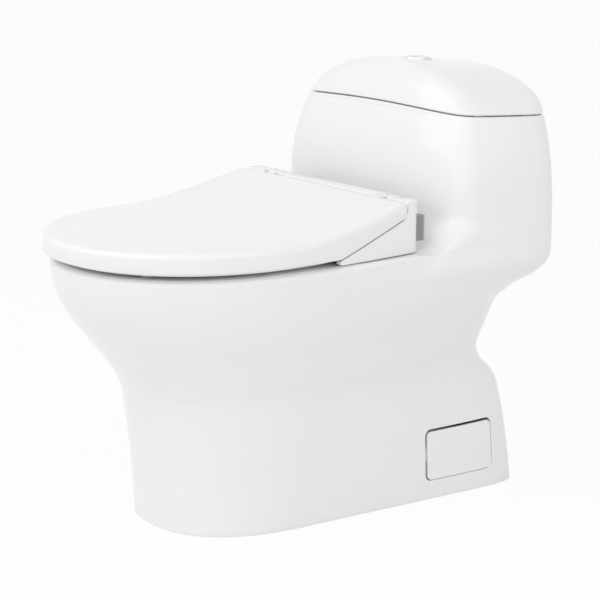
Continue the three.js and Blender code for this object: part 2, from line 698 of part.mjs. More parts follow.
function chinaBody() {
  const outside = joined(bodyOutside(), tower());
  const hollowed = cutBy(outside, pedestalHollow());
  const horn = solid(drum(HORN_RADIUS, 2 * TRAP_RADIUS).translate(0, at(OUTLET_DEPTH), 0));
  const inner = joined(
    bowl(BOWL_WALL, HOLLOW_TOP + OVERRUN),
    sweep(trapRoute, TRAP_RADIUS + TRAP_WALL, TRAP_STEPS),
    sweep(channelRoute, CHANNEL_RADIUS + TRAP_WALL, CHANNEL_STEPS),
    horn, footLug(1), footLug(-1),
  ).intersect(outside);
  const outletHole = drilled(TRAP_RADIUS, 0, OUTLET_DEPTH, -OVERRUN, 1.5 * TRAP_RADIUS, ROUND_SIDES);
  const fillPocket = drilled(
    NUT_RADIUS + SHOULDER, FILL_X, FILL_DEPTH, TANK_UNDERSIDE - TANK_FLOOR_WALL,
    TANK_FLOOR - FILL_SEAT_WALL, ROUND_SIDES,
  );
  const holes = [
    bowl(0, RIM_HEIGHT + OVERRUN),
    sweep(trapRoute, TRAP_RADIUS, TRAP_STEPS),
    sweep(channelRoute, CHANNEL_RADIUS, CHANNEL_STEPS),
    outletHole,
    tankCavity(),
    drilled(VALVE_SHANK_RADIUS + LOOSE, 0, VALVE_DEPTH, CHANNEL_HEIGHT + CHANNEL_RADIUS,
      TANK_FLOOR + OVERRUN, ROUND_SIDES),
    drilled(FILL_SHANK_RADIUS + LOOSE, FILL_X, FILL_DEPTH, TANK_UNDERSIDE, TANK_FLOOR + OVERRUN),
    fillPocket,
    coverHole(1),
    coverHole(-1),
    aboveSeam(0),
  ];
  for (const side of [1, -1]) {
    holes.push(drilled(FLOOR_BOLT_RADIUS + LOOSE, side * FLOOR_BOLT_X, COVER_MIDDLE_DEPTH,
      -OVERRUN, LUG_HEIGHT + OVERRUN));
    holes.push(drilled(SEAT_BOLT_HOLE, (side * SEAT_BOLT_SPACING) / 2, SEAT_BOLT_DEPTH,
      HOLLOW_TOP - OVERRUN, RIM_HEIGHT + OVERRUN));
  }
  return cutBy(joined(hollowed, inner), ...holes);
}

// The tank lid: the tower above the seam, hollow beneath, with a lip that drops into the tank
const BUTTON_SEAT = CROWN_HEIGHT - DOME_FALL / 2 - BEZEL_FLANGE / 3;

function tankLid() {
  const cap = tower().intersect(aboveSeam(SEAM_GAP));
  const lipBy = TANK_WALL + LIP_CLEARANCE;
  const lipLevel = tankLevel(SEAM_HEIGHT, lipBy);
  const lipLow = mix(FILLET_TOP, SEAM_HEIGHT, tankShares[2]);
  const lip = solid(loft([
    outline(tankLevel(lipLow, lipBy)),
    outline(lipLevel),
    outline({ ...lipLevel, z: SEAM_HEIGHT + SEAM_ARCH + SEAM_GAP * 2 }),
  ])).intersect(aboveSeam(-LIP_DROP));
  const hollow = solid(loft([
    outline(tankLevel(lipLow, LID_WALL), INNER_POINTS),
    outline(tankLevel(SEAM_HEIGHT, LID_WALL), INNER_POINTS),
    ...domeShares.slice(0, -1)
      .map((share) => domeRing(share, LID_WALL, LID_ROOF, INNER_POINTS)),
  ]));
  const hole = drilled(BEZEL_TUBE_RADIUS + LOOSE, 0, VALVE_DEPTH, SEAM_HEIGHT,
    CROWN_HEIGHT + OVERRUN, ROUND_SIDES);
  const recess = drilled(BEZEL_RADIUS + LOOSE, 0, VALVE_DEPTH, BUTTON_SEAT,
    CROWN_HEIGHT + OVERRUN, ROUND_SIDES);
  return cutBy(joined(cap, lip), hollow, hole, recess);
}

// Four rubber pads keep the tank lid off the glazed edge
function tankLidPad(side, share) {
  const depth = TANK_DEPTH * share;
  const z = mix(FILLET_TOP, SEAM_HEIGHT, 0.98);
  const x = side * (halfWidthAt(tankLevel(z), depth) - TANK_WALL / 2 - BUMPER_WIDTH / 4);
  const pad = block(BUMPER_WIDTH, BUMPER_LENGTH, SEAM_GAP - 2 * CLEARANCE);
  pad.rotateY(Math.atan((2 * SEAM_ARCH * x) / SEAM_REAR_HALF ** 2));
  pad.rotateX(-radians(SEAM_FALL_DEG));
  return pad.translate(x, at(depth), seamHeightAt(x, depth) + CLEARANCE);
}

// Seat lid: its plan is a rounded front half and sides that draw in to a straight rear edge
function lidHalfAt(depth) {
  const run = (RIM_WIDEST_DEPTH - depth) / (RIM_WIDEST_DEPTH - SEAT_LID_BACK);
  return mix(SEAT_LID_HALF, SEAT_LID_REAR_HALF, Math.max(0, run) ** 2);
}

// A plan loop for the lid, drawn in by a margin: front arc, side, rear corner and rear edge
function lidPlan(by, back = SEAT_LID_BACK, corner = SEAT_LID_CORNER) {
  const right = [];
  const reach = LENGTH - RIM_WIDEST_DEPTH - by;
  for (let i = 0; i <= 10; i++) {
    const angle = (Math.PI / 2) * (1 - i / 10);
    const depth = RIM_WIDEST_DEPTH + reach * Math.sin(angle) ** (2 / 2.1);
    right.push([(SEAT_LID_HALF - by) * Math.cos(angle) ** (2 / 2.1), depth]);
  }
  for (const share of [0.2, 0.4, 0.58, 0.74, 0.88]) {
    const depth = mix(RIM_WIDEST_DEPTH, back + by, share);
    right.push([lidHalfAt(depth) - by, depth]);
  }
  const side = lidHalfAt(back) - by;
  for (const angle of [15, 45, 75].map(radians)) {
    right.push([side - corner * (1 - Math.cos(angle)), back + by + corner * (1 - Math.sin(angle))]);
  }
  for (const share of [0.9, 0.75, 0.4]) right.push([side * share, back + by]);
  const left = right.slice(1).reverse().map(([x, depth]) => [-x, depth]);
  return [...right, [0, back + by], ...left];
}

// Height of the lid's top edge: level in front, then a ramp up to the hinge
function lidEdgeHeight(depth) {
  const ramp = clamp01((RIM_WIDEST_DEPTH - depth) / (RIM_WIDEST_DEPTH - SEAT_LID_BACK - OVERRUN));
  return LID_TOP_FRONT + SEAT_LID_RAMP * ramp ** 1.45;
}

function lidTopHeight(x, depth) {
  const across = 1 - (x / lidHalfAt(depth)) ** 2;
  const frontFade = ease((LENGTH - depth) / (LENGTH - RIM_WIDEST_DEPTH));
  const rearFade = ease((depth - SEAT_LID_BACK) / (RIM_WIDEST_DEPTH - SEAT_LID_BACK));
  return lidEdgeHeight(depth) + SEAT_LID_CROWN * across * frontFade * rearFade;
}

// The cheek's top edge climbs straight from its nose and turns up against the hinge base
function cheekHeight(depth) {
  const climb = CHEEK_RISE * ((CHEEK_FRONT - depth) / CHEEK_RUN);
  const turn = clamp01((BASE_FRONT + CHEEK_TURN - depth) / CHEEK_TURN);
  return BASE_BOTTOM + CHEEK_NOSE + climb + CHEEK_TURN * turn ** 2;
}

// The lid's lower edge: level, then up along the cheek, and short across the hinge base
function lidLowHeight(x, depth) {
  const alongCheek = cheekHeight(depth) + CHEEK_GAP;
  const acrossBase = depth < SEAT_LID_BACK + SEAT_LID_WALL + PLAY
    && Math.abs(x) < SEAT_LID_REAR_HALF - CHEEK_THICKNESS - BASE_MARGIN;
  if (acrossBase) return LID_TOP_REAR - SEAT_LID_EDGE;
  return Math.max(LID_BASE, alongCheek);
}

function seatLid() {
  const ring = (by, height) => lidPlan(by).map(([x, depth]) => (
    new THREE.Vector3(x, at(depth), height(x, depth))
  ));
  const wall = SEAT_LID_WALL;
  const middle = (RIM_WIDEST_DEPTH + SEAT_LID_BACK) / 2 + SEAT_LID_BACK / 4;
  const shrunk = (share, drop) => lidPlan(SEAT_LID_EDGE * 1.3).map(([x, d]) => {
    const [sx, sd] = [x * share, mix(middle, d, share)];
    return new THREE.Vector3(sx, at(sd), lidTopHeight(sx, sd) - drop);
  });
  const rounding = (share) => (x, depth) => lidTopHeight(x, depth) - SEAT_LID_EDGE * share;
  const innerTop = (x, depth) => Math.max(
    lidTopHeight(x, depth) - SEAT_LID_EDGE,
    lidLowHeight(x, depth) + CLEARANCE,
  );
  const shell = solid(loft([
    shrunk(0.45, wall),
    shrunk(0.8, wall),
    shrunk(0.97, wall + PLAY),
    ring(wall, innerTop),
    ring(wall, lidLowHeight),
    ring(0, lidLowHeight),
    ring(0, (x, depth) => lidTopHeight(x, depth) - SEAT_LID_EDGE * 0.85),
    ring(SEAT_LID_EDGE * 0.12, rounding(0.5)),
    ring(SEAT_LID_EDGE * 0.45, rounding(0.16)),
    ring(SEAT_LID_EDGE * 1.1, rounding(0.02)),
    shrunk(0.85, 0),
    shrunk(0.5, 0),
  ]));
  return joined(shell, ...[1, -1].map(lidLug));
}

// Hinge lugs: a barrel on the hinge line with an arm that carries the seat or its lid
function barrel(side, fromX, toX, arm) {
  const low = side > 0 ? fromX : -toX;
  const high = side > 0 ? toX : -fromX;
  const place = (geometry) => solid(geometry.translate(0, at(HINGE_DEPTH), HINGE_HEIGHT));
  const round = place(drumAlongX(BARREL_RADIUS, low, high, 20));
  const bore = place(drumAlongX(
    HINGE_PIN_RADIUS + CLEARANCE, low - OVERRUN, high + OVERRUN, SMALL_SIDES));
  return cutBy(joined(round, solid(barAlongX(arm, low, high))), bore);
}

const LID_LUG_X = [LUG_INNER, LUG_INNER + HINGE_LUG_WIDTH];
const SEAT_LUG_X = LID_LUG_X.map((x) => x + HINGE_LUG_WIDTH + HINGE_LUG_GAP);

function lidLug(side) {
  const front = SEAT_LID_BACK + SEAT_LID_WALL / 2;
  const [top, low] = [LID_TOP_REAR - CLEARANCE, LID_TOP_REAR - SEAT_LID_WALL - PLAY];
  const arm = [[HINGE_DEPTH, top], [front, top], [front, low], [HINGE_DEPTH, low]];
  return barrel(side, ...LID_LUG_X, arm);
}

// The seat: a ring with rounded edges and a flat underside
function seatRing() {
  const level = (by, z) => ({
    z,
    mid: SEAT_HALF - by,
    rear: SEAT_HALF - by,
    front: SEAT_FRONT - by,
    widest: RIM_WIDEST_DEPTH,
    back: SEAT_BACK + by,
    frontPower: 2.1,
    rearPower: 2.6,
  });
  const hole = (by, z) => ({
    z,
    mid: SEAT_OPENING_HALF + by,
    rear: SEAT_OPENING_HALF + by,
    front: SEAT_OPENING_FRONT + by,
    widest: RIM_WIDEST_DEPTH,
    back: SEAT_OPENING_BACK - by,
    frontPower: 2.1,
    rearPower: 2.1,
  });
  const edge = SEAT_EDGE;
  const disc = solid(loft([
    outline(level(edge / 3, SEAT_BOTTOM)),
    outline(level(0, SEAT_BOTTOM + edge / 2)),
    outline(level(0, SEAT_TOP - edge)),
    outline(level(edge * 0.3, SEAT_TOP - edge * 0.3)),
    outline(level(edge, SEAT_TOP)),
  ]));
  const opening = solid(loft([
    outline(hole(0, SEAT_BOTTOM - OVERRUN), BOWL_POINTS),
    outline(hole(0, SEAT_TOP - edge), BOWL_POINTS),
    outline(hole(edge * 0.3, SEAT_TOP - edge * 0.3), BOWL_POINTS),
    outline(hole(edge, SEAT_TOP), BOWL_POINTS),
    outline(hole(edge, SEAT_TOP + OVERRUN), BOWL_POINTS),
  ]));
  return joined(cutBy(disc, opening), ...[1, -1].map(seatLug));
}

function seatLug(side) {
  const rear = BASE_FRONT + SHOULDER;
  const low = SEAT_BOTTOM + SHOULDER;
  const high = SEAT_TOP - SEAT_EDGE + SHOULDER;
  const front = SEAT_BACK + SEAT_LUG_X[1] * 0.3;
  const r = BARREL_RADIUS;
  const arm = [
    [front, low], [front, high], [SEAT_BACK, high], [rear + 1.5 * r, high + r],
    [rear + 0.75 * r, HINGE_HEIGHT - 1.5 * r], [rear + r / 8, HINGE_HEIGHT - 0.45 * r],
    [HINGE_DEPTH + r / 2, HINGE_HEIGHT + r / 4], [HINGE_DEPTH + r / 4, HINGE_HEIGHT - 0.75 * r],
    [rear, HINGE_HEIGHT - 1.05 * r], [rear, high], [rear + 1.5 * r, low],
  ];
  return barrel(side, ...SEAT_LUG_X, arm);
}

// The hinge base: a hollow beam across the deck with a cheek at each end under the lid's side
function seatBase() {
  const e = BASE_EDGE;
  const turnDepths = [0, 0.35, 0.7, 1].map((share) => BASE_FRONT + CHEEK_TURN * share);
  const section = [
    [BASE_BACK + e, BASE_BOTTOM], [BASE_BACK, BASE_BOTTOM + 2 * e],
    [BASE_BACK, LID_TOP_REAR - e], [BASE_BACK + e, LID_TOP_REAR],
    [BASE_FRONT - e, LID_TOP_REAR], [BASE_FRONT, LID_TOP_REAR - e],
    ...turnDepths.map((depth) => [depth, cheekHeight(depth)]),
    [CHEEK_FRONT, BASE_BOTTOM + CHEEK_NOSE],
    [CHEEK_FRONT + CHEEK_NOSE / 4, BASE_BOTTOM + CHEEK_NOSE / 2],
    [CHEEK_FRONT, BASE_BOTTOM],
  ];
  const wide = SEAT_LID_HALF + OVERRUN;
  const plan = (by, back) => {
    const loop = lidPlan(by, back - by, BASE_CORNER);
    const points = loop.map(([x, depth]) => new THREE.Vector2(x, at(depth)));
    const options = { depth: LID_TOP_REAR, bevelEnabled: false };
    return solid(new THREE.ExtrudeGeometry(new THREE.Shape(points), options));
  };
  const whole = solid(barAlongX(section, -wide, wide))
    .intersect(plan(BASE_MARGIN, BASE_BACK - CLEARANCE));
  const between = plan(CHEEK_THICKNESS, BASE_FRONT);
  const inside = solid(block(
    2 * (LUG_INNER - BASE_WALL - HINGE_PIN_BEDDING),
    BASE_FRONT - BASE_BACK - 2 * BASE_WALL,
    LID_TOP_REAR - BASE_BOTTOM - BASE_WALL + OVERRUN,
  ).translate(0, at((BASE_FRONT + BASE_BACK) / 2), BASE_BOTTOM - OVERRUN));
  const pockets = [1, -1].map((side) => {
    const [fromX, toX] = [LID_LUG_X[0] - PLAY, SEAT_LUG_X[1] + PLAY];
    const run = BASE_FRONT - BASE_BACK;
    const pocket = block(toX - fromX, run, LID_TOP_REAR)
      .translate((side * (fromX + toX)) / 2, at(BASE_BACK + BASE_WALL + run / 2),
        HINGE_HEIGHT - BARREL_RADIUS - PLAY);
    return solid(pocket);
  });
  const pinHoles = [1, -1].map((side) => pinAlong(side, CLEARANCE, CLEARANCE));
  const bufferBeds = [1, -1].map((side) => rearBuffer(side, CLEARANCE));
  return cutBy(whole, between, inside, ...pockets, ...pinHoles, ...bufferBeds);
}

// A rubber buffer is bedded in the back of the hinge base at each end
function rearBuffer(side, grow = 0) {
  const [width, height] = [BUFFER_WIDTH + 2 * grow, BUFFER_HEIGHT + 2 * grow];
  const shape = roundedRectangle(width, height, BUFFER_CORNER + grow);
  const reach = BUFFER_REACH + grow;
  const options = { depth: reach + BUFFER_BED + grow, bevelEnabled: false, curveSegments: 3 };
  const prism = new THREE.ExtrudeGeometry(shape, options).rotateX(Math.PI / 2);
  const x = side * (lidHalfAt(BASE_BACK) - BUFFER_WIDTH);
  return solid(prism.translate(x, at(BASE_BACK - reach),
    BASE_BOTTOM + BUFFER_SILL + BUFFER_HEIGHT / 2));
}

// Hinge pins cross each pocket and are bedded in the beam on both sides of it
function pinAlong(side, grow, extra) {
  const fromX = LID_LUG_X[0] - HINGE_PIN_BEDDING - extra;
  const toX = SEAT_LUG_X[1] + HINGE_PIN_BEDDING + extra;
  const [low, high] = side > 0 ? [fromX, toX] : [-toX, -fromX];
  return solid(drumAlongX(HINGE_PIN_RADIUS + grow, low, high, SMALL_SIDES)
    .translate(0, at(HINGE_DEPTH), HINGE_HEIGHT));
}

// Soft-close dampers lie in the beam, on the hinge line, inboard of each pin
function damper(side) {
  const outer = LUG_INNER - BASE_WALL - HINGE_PIN_BEDDING - CLEARANCE;
  const [low, high] = side > 0 ? [outer - DAMPER_LENGTH, outer] : [-outer, DAMPER_LENGTH - outer];
  const place = (geometry) => solid(geometry.translate(0, at(HINGE_DEPTH), HINGE_HEIGHT));
  const cylinder = place(drumAlongX(DAMPER_RADIUS, low, high, SMALL_SIDES));
  const collar = place(drumAlongX(DAMPER_RADIUS * 0.6, low - DAMPER_SHAFT, high - DAMPER_SHAFT, SMALL_SIDES));
  return joined(cylinder, side > 0 ? collar : collar.translate(2 * DAMPER_SHAFT, 0, 0));
}

// The metal base plate that the hinge base clips over
function seatBasePlate() {
  const length = SEAT_BOLT_SPACING + 4 * SEAT_BOLT_HOLE;
  const plate = solid(block(length, PLATE_FRONT - PLATE_BACK, BASE_LIFT - 2 * CLEARANCE)
    .translate(0, at((PLATE_FRONT + PLATE_BACK) / 2), RIM_HEIGHT + CLEARANCE));
  const holes = [1, -1].map((side) => drilled(SEAT_BOLT_RADIUS + CLEARANCE,
    (side * SEAT_BOLT_SPACING) / 2, SEAT_BOLT_DEPTH, RIM_HEIGHT, RIM_HEIGHT + OVERRUN));
  return cutBy(plate, ...holes);
}

// Parts made once about their own axis and stood in place by the scene
const boltHead = (radius) => [radius * 1.8, radius * 1.2];

function bolt(radius, shank) {
  const [headRadius, headHeight] = boltHead(radius);
  return turned([
    [0, -shank], [radius, -shank], [radius, 0], [headRadius, 0],
    [headRadius, headHeight * 0.7], [headRadius * 0.8, headHeight], [0, headHeight],
  ], SMALL_SIDES);
}

const washer = (outer, inner, height) => tube(outer, inner, height);
const nut = (outer, inner, height) => cutBy(
  solid(drum(outer, height, 6)),
  solid(drum(inner, height + 2 * OVERRUN).translate(0, 0, -OVERRUN)),
);

// Flush valve, standing over its hole: z = 0 is the tank floor
const VALVE_SEAT = GASKET_THICKNESS + 2 * CLEARANCE;
const FLANGE_TOP = VALVE_SEAT + VALVE_FLANGE_THICKNESS;
const HEAD_BASE = CANISTER_TOP + HEAD_CLEARANCE;
const POST_CIRCLE = VALVE_FLANGE_RADIUS - POST_RADIUS - PLAY;

function postPlaces() {
  const angles = [90, 210, 330].map(radians);
  return angles.map((angle) => [POST_CIRCLE * Math.cos(angle), POST_CIRCLE * Math.sin(angle)]);
}

function flushValveBase() {
  const flange = solid(turned([
    [VALVE_BORE_RADIUS, -VALVE_SHANK_RADIUS + OVERRUN],
    [VALVE_SHANK_RADIUS, -VALVE_SHANK_RADIUS + OVERRUN],
    [VALVE_SHANK_RADIUS, VALVE_SEAT], [VALVE_FLANGE_RADIUS, VALVE_SEAT],
    [VALVE_FLANGE_RADIUS, FLANGE_TOP], [VALVE_BORE_RADIUS, FLANGE_TOP],
    [VALVE_BORE_RADIUS, -VALVE_SHANK_RADIUS + OVERRUN],
  ]));
  const height = HEAD_BASE - FLANGE_TOP + 1 - CLEARANCE;
  const posts = postPlaces().map(([x, y]) => (
    solid(drum(POST_RADIUS, height, SMALL_SIDES).translate(x, y, FLANGE_TOP - PLAY))
  ));
  return joined(flange, ...posts);
}

function flushCanister() {
  const base = FLANGE_TOP + GASKET_THICKNESS + 2 * CLEARANCE;
  const inner = CANISTER_RADIUS - CANISTER_WALL;
  const foot = CANISTER_RADIUS + FOOT_WIDTH;
  return solid(turned([
    [inner, base], [foot, base], [foot, base + CHAMFER], [CANISTER_RADIUS, base + 2 * CHAMFER],
    [CANISTER_RADIUS, CANISTER_TOP], [inner, CANISTER_TOP], [inner, base],
  ]));
}

function flushValveHead() {
  const outer = VALVE_FLANGE_RADIUS;
  const inner = CANISTER_RADIUS + 3 * LOOSE;
  const roof = HEAD_BASE + HEAD_HEIGHT;
  const cup = solid(turned([
    [inner, HEAD_BASE], [outer, HEAD_BASE], [outer, roof - CHAMFER], [outer - CHAMFER, roof], [0, roof],
    [0, roof - HEAD_WALL], [inner, roof - HEAD_WALL], [inner, HEAD_BASE],
  ]));
  const bores = [1, -1].map((side) => (
    solid(drum(ROD_RADIUS + LOOSE, HEAD_HEIGHT * 2, SMALL_SIDES)
      .translate(side * ROD_OFFSET, 0, HEAD_BASE))
  ));
  return cutBy(cup, ...bores);
}

// Fill valve, standing over its own hole: z = 0 is the tank floor
function fillValveShank() {
  const low = -(FILL_SEAT_WALL + NUT_HEIGHT * 2.4);
  const towerFoot = FILL_TOWER_RADIUS + FOOT_WIDTH;
  return solid(turned([
    [FILL_SHANK_RADIUS * 0.6, low], [FILL_SHANK_RADIUS, low], [FILL_SHANK_RADIUS, VALVE_SEAT],
    [towerFoot, VALVE_SEAT], [towerFoot, VALVE_SEAT + FOOT_WIDTH],
    [FILL_SHANK_RADIUS * 0.6, VALVE_SEAT + FOOT_WIDTH], [FILL_SHANK_RADIUS * 0.6, low],
  ]));
}

function fillValveTower() {
  const base = VALVE_SEAT + FOOT_WIDTH + CLEARANCE;
  return solid(tube(FILL_TOWER_RADIUS, FILL_SHANK_RADIUS * 0.6, FILL_TOWER_TOP - base)
    .translate(0, 0, base));
}

const CAP_BASE = FILL_TOWER_TOP + CLEARANCE;
const CAP_TOP = CAP_BASE + FILL_CAP_HEIGHT;
const ARM_LENGTH = FLOAT_RADIUS + FILL_CAP_RADIUS / 2;
const ARM_WIDTH = 6;
const ARM_THICKNESS = 5;
const ARM_LIFT = 6;
const ARM_PIN_RADIUS = 1.5;
const ARM_PIN_LENGTH = ARM_WIDTH + ARM_PIN_SPARE;
const armPin = (grow) => drum(ARM_PIN_RADIUS + grow, ARM_PIN_LENGTH + grow * 10, 8)
  .rotateX(Math.PI / 2).translate(0, (ARM_PIN_LENGTH + grow * 10) / 2, 0);
const POST_OFFSET = FLOAT_RADIUS - CHAMFER;

function fillValveCap() {
  const round = solid(turned([
    [0, CAP_BASE], [FILL_CAP_RADIUS - SHOULDER, CAP_BASE],
    [FILL_CAP_RADIUS - SHOULDER, CAP_BASE + CHAMFER],
    [FILL_CAP_RADIUS * 0.74, CAP_TOP - SHOULDER], [FILL_CAP_RADIUS * 0.58, CAP_TOP], [0, CAP_TOP],
  ]));
  const ears = [1, -1].map((side) => solid(
    block(ARM_WIDTH, 2.4, ARM_THICKNESS * 2 + ARM_LIFT + 2)
      .translate(0, side * (ARM_WIDTH / 2 + 1.8), CAP_TOP - 5),
  ));
  const pinHole = armPin(CLEARANCE).translate(0, 0, CAP_TOP + ARM_LIFT + ARM_THICKNESS / 2);
  return cutBy(joined(round, ...ears), solid(pinHole));
}

function fillValveFloat() {
  const inner = FILL_TOWER_RADIUS + LOOSE;
  const top = FLOAT_BASE + FLOAT_HEIGHT;
  const cup = solid(turned([
    [inner, FLOAT_BASE], [FLOAT_RADIUS - SHOULDER, FLOAT_BASE], [FLOAT_RADIUS, FLOAT_BASE + SHOULDER],
    [FLOAT_RADIUS, top - SHOULDER], [FLOAT_RADIUS - SHOULDER, top], [inner, top], [inner, FLOAT_BASE],
  ]));
  const reach = CAP_TOP + ARM_LIFT - CLEARANCE - top;
  const post = solid(drum(SHOULDER, reach + SHOULDER, 8).translate(POST_OFFSET, 0, top - SHOULDER));
  return joined(cup, post);
}

function floatArm() {
  const length = POST_OFFSET + ARM_TAIL + ARM_WIDTH;
  const arm = solid(block(length, ARM_WIDTH, ARM_THICKNESS).translate(length / 2 - ARM_WIDTH, 0, 0));
  return cutBy(arm, solid(armPin(CLEARANCE / 2).translate(0, 0, ARM_THICKNESS / 2)));
}

// Push buttons: two unequal parts of a disc in a round bezel, each with its own push rod
function buttonShape(side) {
  const radius = BUTTON_RADIUS;
  const edge = side > 0 ? -BUTTON_SPLIT + LOOSE : -BUTTON_SPLIT - LOOSE;
  const bend = Math.acos(edge / radius);
  const shape = new THREE.Shape();
  if (side > 0) shape.absarc(0, 0, radius, -bend, bend);
  else shape.absarc(0, 0, radius, bend, 2 * Math.PI - bend);
  return shape;
}

function button(side) {
  const options = { depth: BUTTON_THICKNESS, bevelEnabled: false, curveSegments: SMALL_SIDES };
  return solid(new THREE.ExtrudeGeometry(buttonShape(side), options));
}

function bezel() {
  const inner = BUTTON_RADIUS + LOOSE;
  const ring = solid(turned([
    [0, -BEZEL_DEPTH], [BEZEL_TUBE_RADIUS, -BEZEL_DEPTH], [BEZEL_TUBE_RADIUS, 0], [BEZEL_RADIUS, 0],
    [BEZEL_RADIUS, BEZEL_FLANGE * 0.6], [BEZEL_RADIUS - PLAY, BEZEL_FLANGE], [inner, BEZEL_FLANGE],
    [inner, BEZEL_FLOOR - BEZEL_DEPTH], [0, BEZEL_FLOOR - BEZEL_DEPTH],
  ]));
  const bores = [1, -1].map((side) => (
    solid(drum(ROD_RADIUS + LOOSE, BEZEL_DEPTH, SMALL_SIDES)
      .translate(side * ROD_OFFSET, 0, -BEZEL_DEPTH - OVERRUN))
  ));
  return cutBy(ring, ...bores);
}

// The cover plate follows the china's outer face and is held by two clips behind it
const CLIP_X = FOOT_HALF - CHINA_WALL + CLIP_THICKNESS;

function sideCover(side) {
  const skin = bodyLevels.slice(0, 4).map((level) => outline(inset(level, LOOSE)));
  const core = bodyLevels.slice(0, 4).map((level, i) => outline({
    ...inset(level, LOOSE + COVER_THICKNESS), z: i ? level.z : level.z - OVERRUN,
  }));
  core[core.length - 1].forEach((point) => point.setZ(point.z + OVERRUN));
  const plate = cutBy(solid(loft(skin)), solid(loft(core)));
  return plate.intersect(coverPrism(side, COVER_GAP, COVER_REACH, COVER_FAR));
}

function coverClip(side) {
  const skin = bodyLevels.slice(0, 4)
    .map((level) => outline(inset(level, LOOSE + COVER_THICKNESS + CLEARANCE)));
  const strap = block(COVER_FAR - CLIP_X, COVER_LENGTH - 2 * CLEARANCE, COVER_HEIGHT / 4);
  strap.translate((side * (COVER_FAR + CLIP_X)) / 2, at(COVER_MIDDLE_DEPTH + COVER_SETTLE),
    COVER_SILL + COVER_HEIGHT * 0.4);
  return solid(loft(skin)).intersect(solid(strap));
}

// The scene
const toilet = new THREE.Group();
const finishes = new Map();

function add(parent, name, shape, look, x = 0, depth = WALL_Y, z = 0) {
  if (!finishes.has(look)) finishes.set(look, new THREE.MeshStandardMaterial(look));
  const geometry = shape.isBufferGeometry ? closed(shape) : geometryOf(shape);
  const mesh = new THREE.Mesh(geometry, finishes.get(look));
  mesh.name = name;
  mesh.position.set(x, at(depth), z);
  parent.add(mesh);
  return mesh;
}

add(toilet, 'china_body', chinaBody(), CHINA);

// Tank lid, its pads and the push buttons, which all lift off together
const lidGroup = new THREE.Group();
toilet.add(lidGroup);
add(lidGroup, 'tank_lid', tankLid(), CHINA);
for (const [side, name] of [[1, 'right'], [-1, 'left']]) {
  add(lidGroup, `tank_lid_pad_rear_${name}`, tankLidPad(side, 0.25), CLEAR_RUBBER);
  add(lidGroup, `tank_lid_pad_front_${name}`, tankLidPad(side, 0.66), CLEAR_RUBBER);
}
const buttonZ = BUTTON_SEAT + CLEARANCE;
const buttonBase = buttonZ + BEZEL_FLANGE + BUTTON_PROUD - BUTTON_THICKNESS;
const headRoof = TANK_FLOOR + HEAD_BASE + HEAD_HEIGHT;
const rodFoot = headRoof - HEAD_WALL - PLAY;
add(lidGroup, 'button_bezel', bezel(), CHROME, 0, VALVE_DEPTH, buttonZ);
const bezelNutHeight = NUT_HEIGHT * 0.7;
const lidRoofUnder = CROWN_HEIGHT - LID_ROOF - DOME_FALL;
add(lidGroup, 'bezel_lock_nut',
  nut(BEZEL_RADIUS + SHOULDER, BEZEL_TUBE_RADIUS + CLEARANCE, bezelNutHeight),
  WHITE_PLASTIC, 0, VALVE_DEPTH, lidRoofUnder - bezelNutHeight);
for (const [side, name] of [[1, 'full_flush'], [-1, 'half_flush']]) {
  add(lidGroup, `${name}_button`, button(side), CHROME, 0, VALVE_DEPTH, buttonBase);
  const length = buttonBase - CLEARANCE - rodFoot;
  add(lidGroup, `${name}_rod`, drum(ROD_RADIUS, length, SMALL_SIDES), WHITE_PLASTIC,
    side * ROD_OFFSET, VALVE_DEPTH, rodFoot);
}

// Flush valve over the hole in the tank's floor
const flushGroup = new THREE.Group();
flushGroup.position.set(0, at(VALVE_DEPTH), TANK_FLOOR);
toilet.add(flushGroup);
const valveGasket = washer(VALVE_FLANGE_RADIUS - SHOULDER, VALVE_SHANK_RADIUS + LOOSE, GASKET_THICKNESS);
add(flushGroup, 'flush_valve_gasket', valveGasket, BLACK_RUBBER, 0, WALL_Y, CLEARANCE);
add(flushGroup, 'flush_valve_base', flushValveBase(), WHITE_PLASTIC);
const canisterSeal = washer(CANISTER_RADIUS + CHAMFER, VALVE_BORE_RADIUS - PLAY, GASKET_THICKNESS);
add(flushGroup, 'flush_canister_seal', canisterSeal, BLACK_RUBBER, 0, WALL_Y, FLANGE_TOP + CLEARANCE);
add(flushGroup, 'flush_canister', flushCanister(), BLUE_PLASTIC);
add(flushGroup, 'flush_valve_head', flushValveHead(), WHITE_PLASTIC);

// Fill valve beside it, with its nut under the tank
const fillGroup = new THREE.Group();
fillGroup.position.set(FILL_X, at(FILL_DEPTH), TANK_FLOOR);
toilet.add(fillGroup);
const fillGasket = washer(
  FILL_TOWER_RADIUS + CHAMFER, FILL_SHANK_RADIUS + CLEARANCE, GASKET_THICKNESS,
);
add(fillGroup, 'fill_valve_gasket', fillGasket, BLACK_RUBBER, 0, WALL_Y, CLEARANCE);
add(fillGroup, 'fill_valve_shank', fillValveShank(), WHITE_PLASTIC);
add(fillGroup, 'fill_valve_nut', nut(NUT_RADIUS, FILL_SHANK_RADIUS + CLEARANCE, NUT_HEIGHT),
  WHITE_PLASTIC, 0, WALL_Y, -FILL_SEAT_WALL - NUT_HEIGHT - CLEARANCE);
add(fillGroup, 'fill_valve_tower', fillValveTower(), WHITE_PLASTIC);
add(fillGroup, 'fill_valve_cap', fillValveCap(), GREY_PLASTIC);
add(fillGroup, 'fill_valve_float', fillValveFloat(), GREY_PLASTIC);
add(fillGroup, 'fill_valve_arm', floatArm(), WHITE_PLASTIC, 0, WALL_Y, CAP_TOP + ARM_LIFT);
add(fillGroup, 'fill_valve_arm_pin', armPin(0), STEEL,
  0, WALL_Y, CAP_TOP + ARM_LIFT + ARM_THICKNESS / 2);

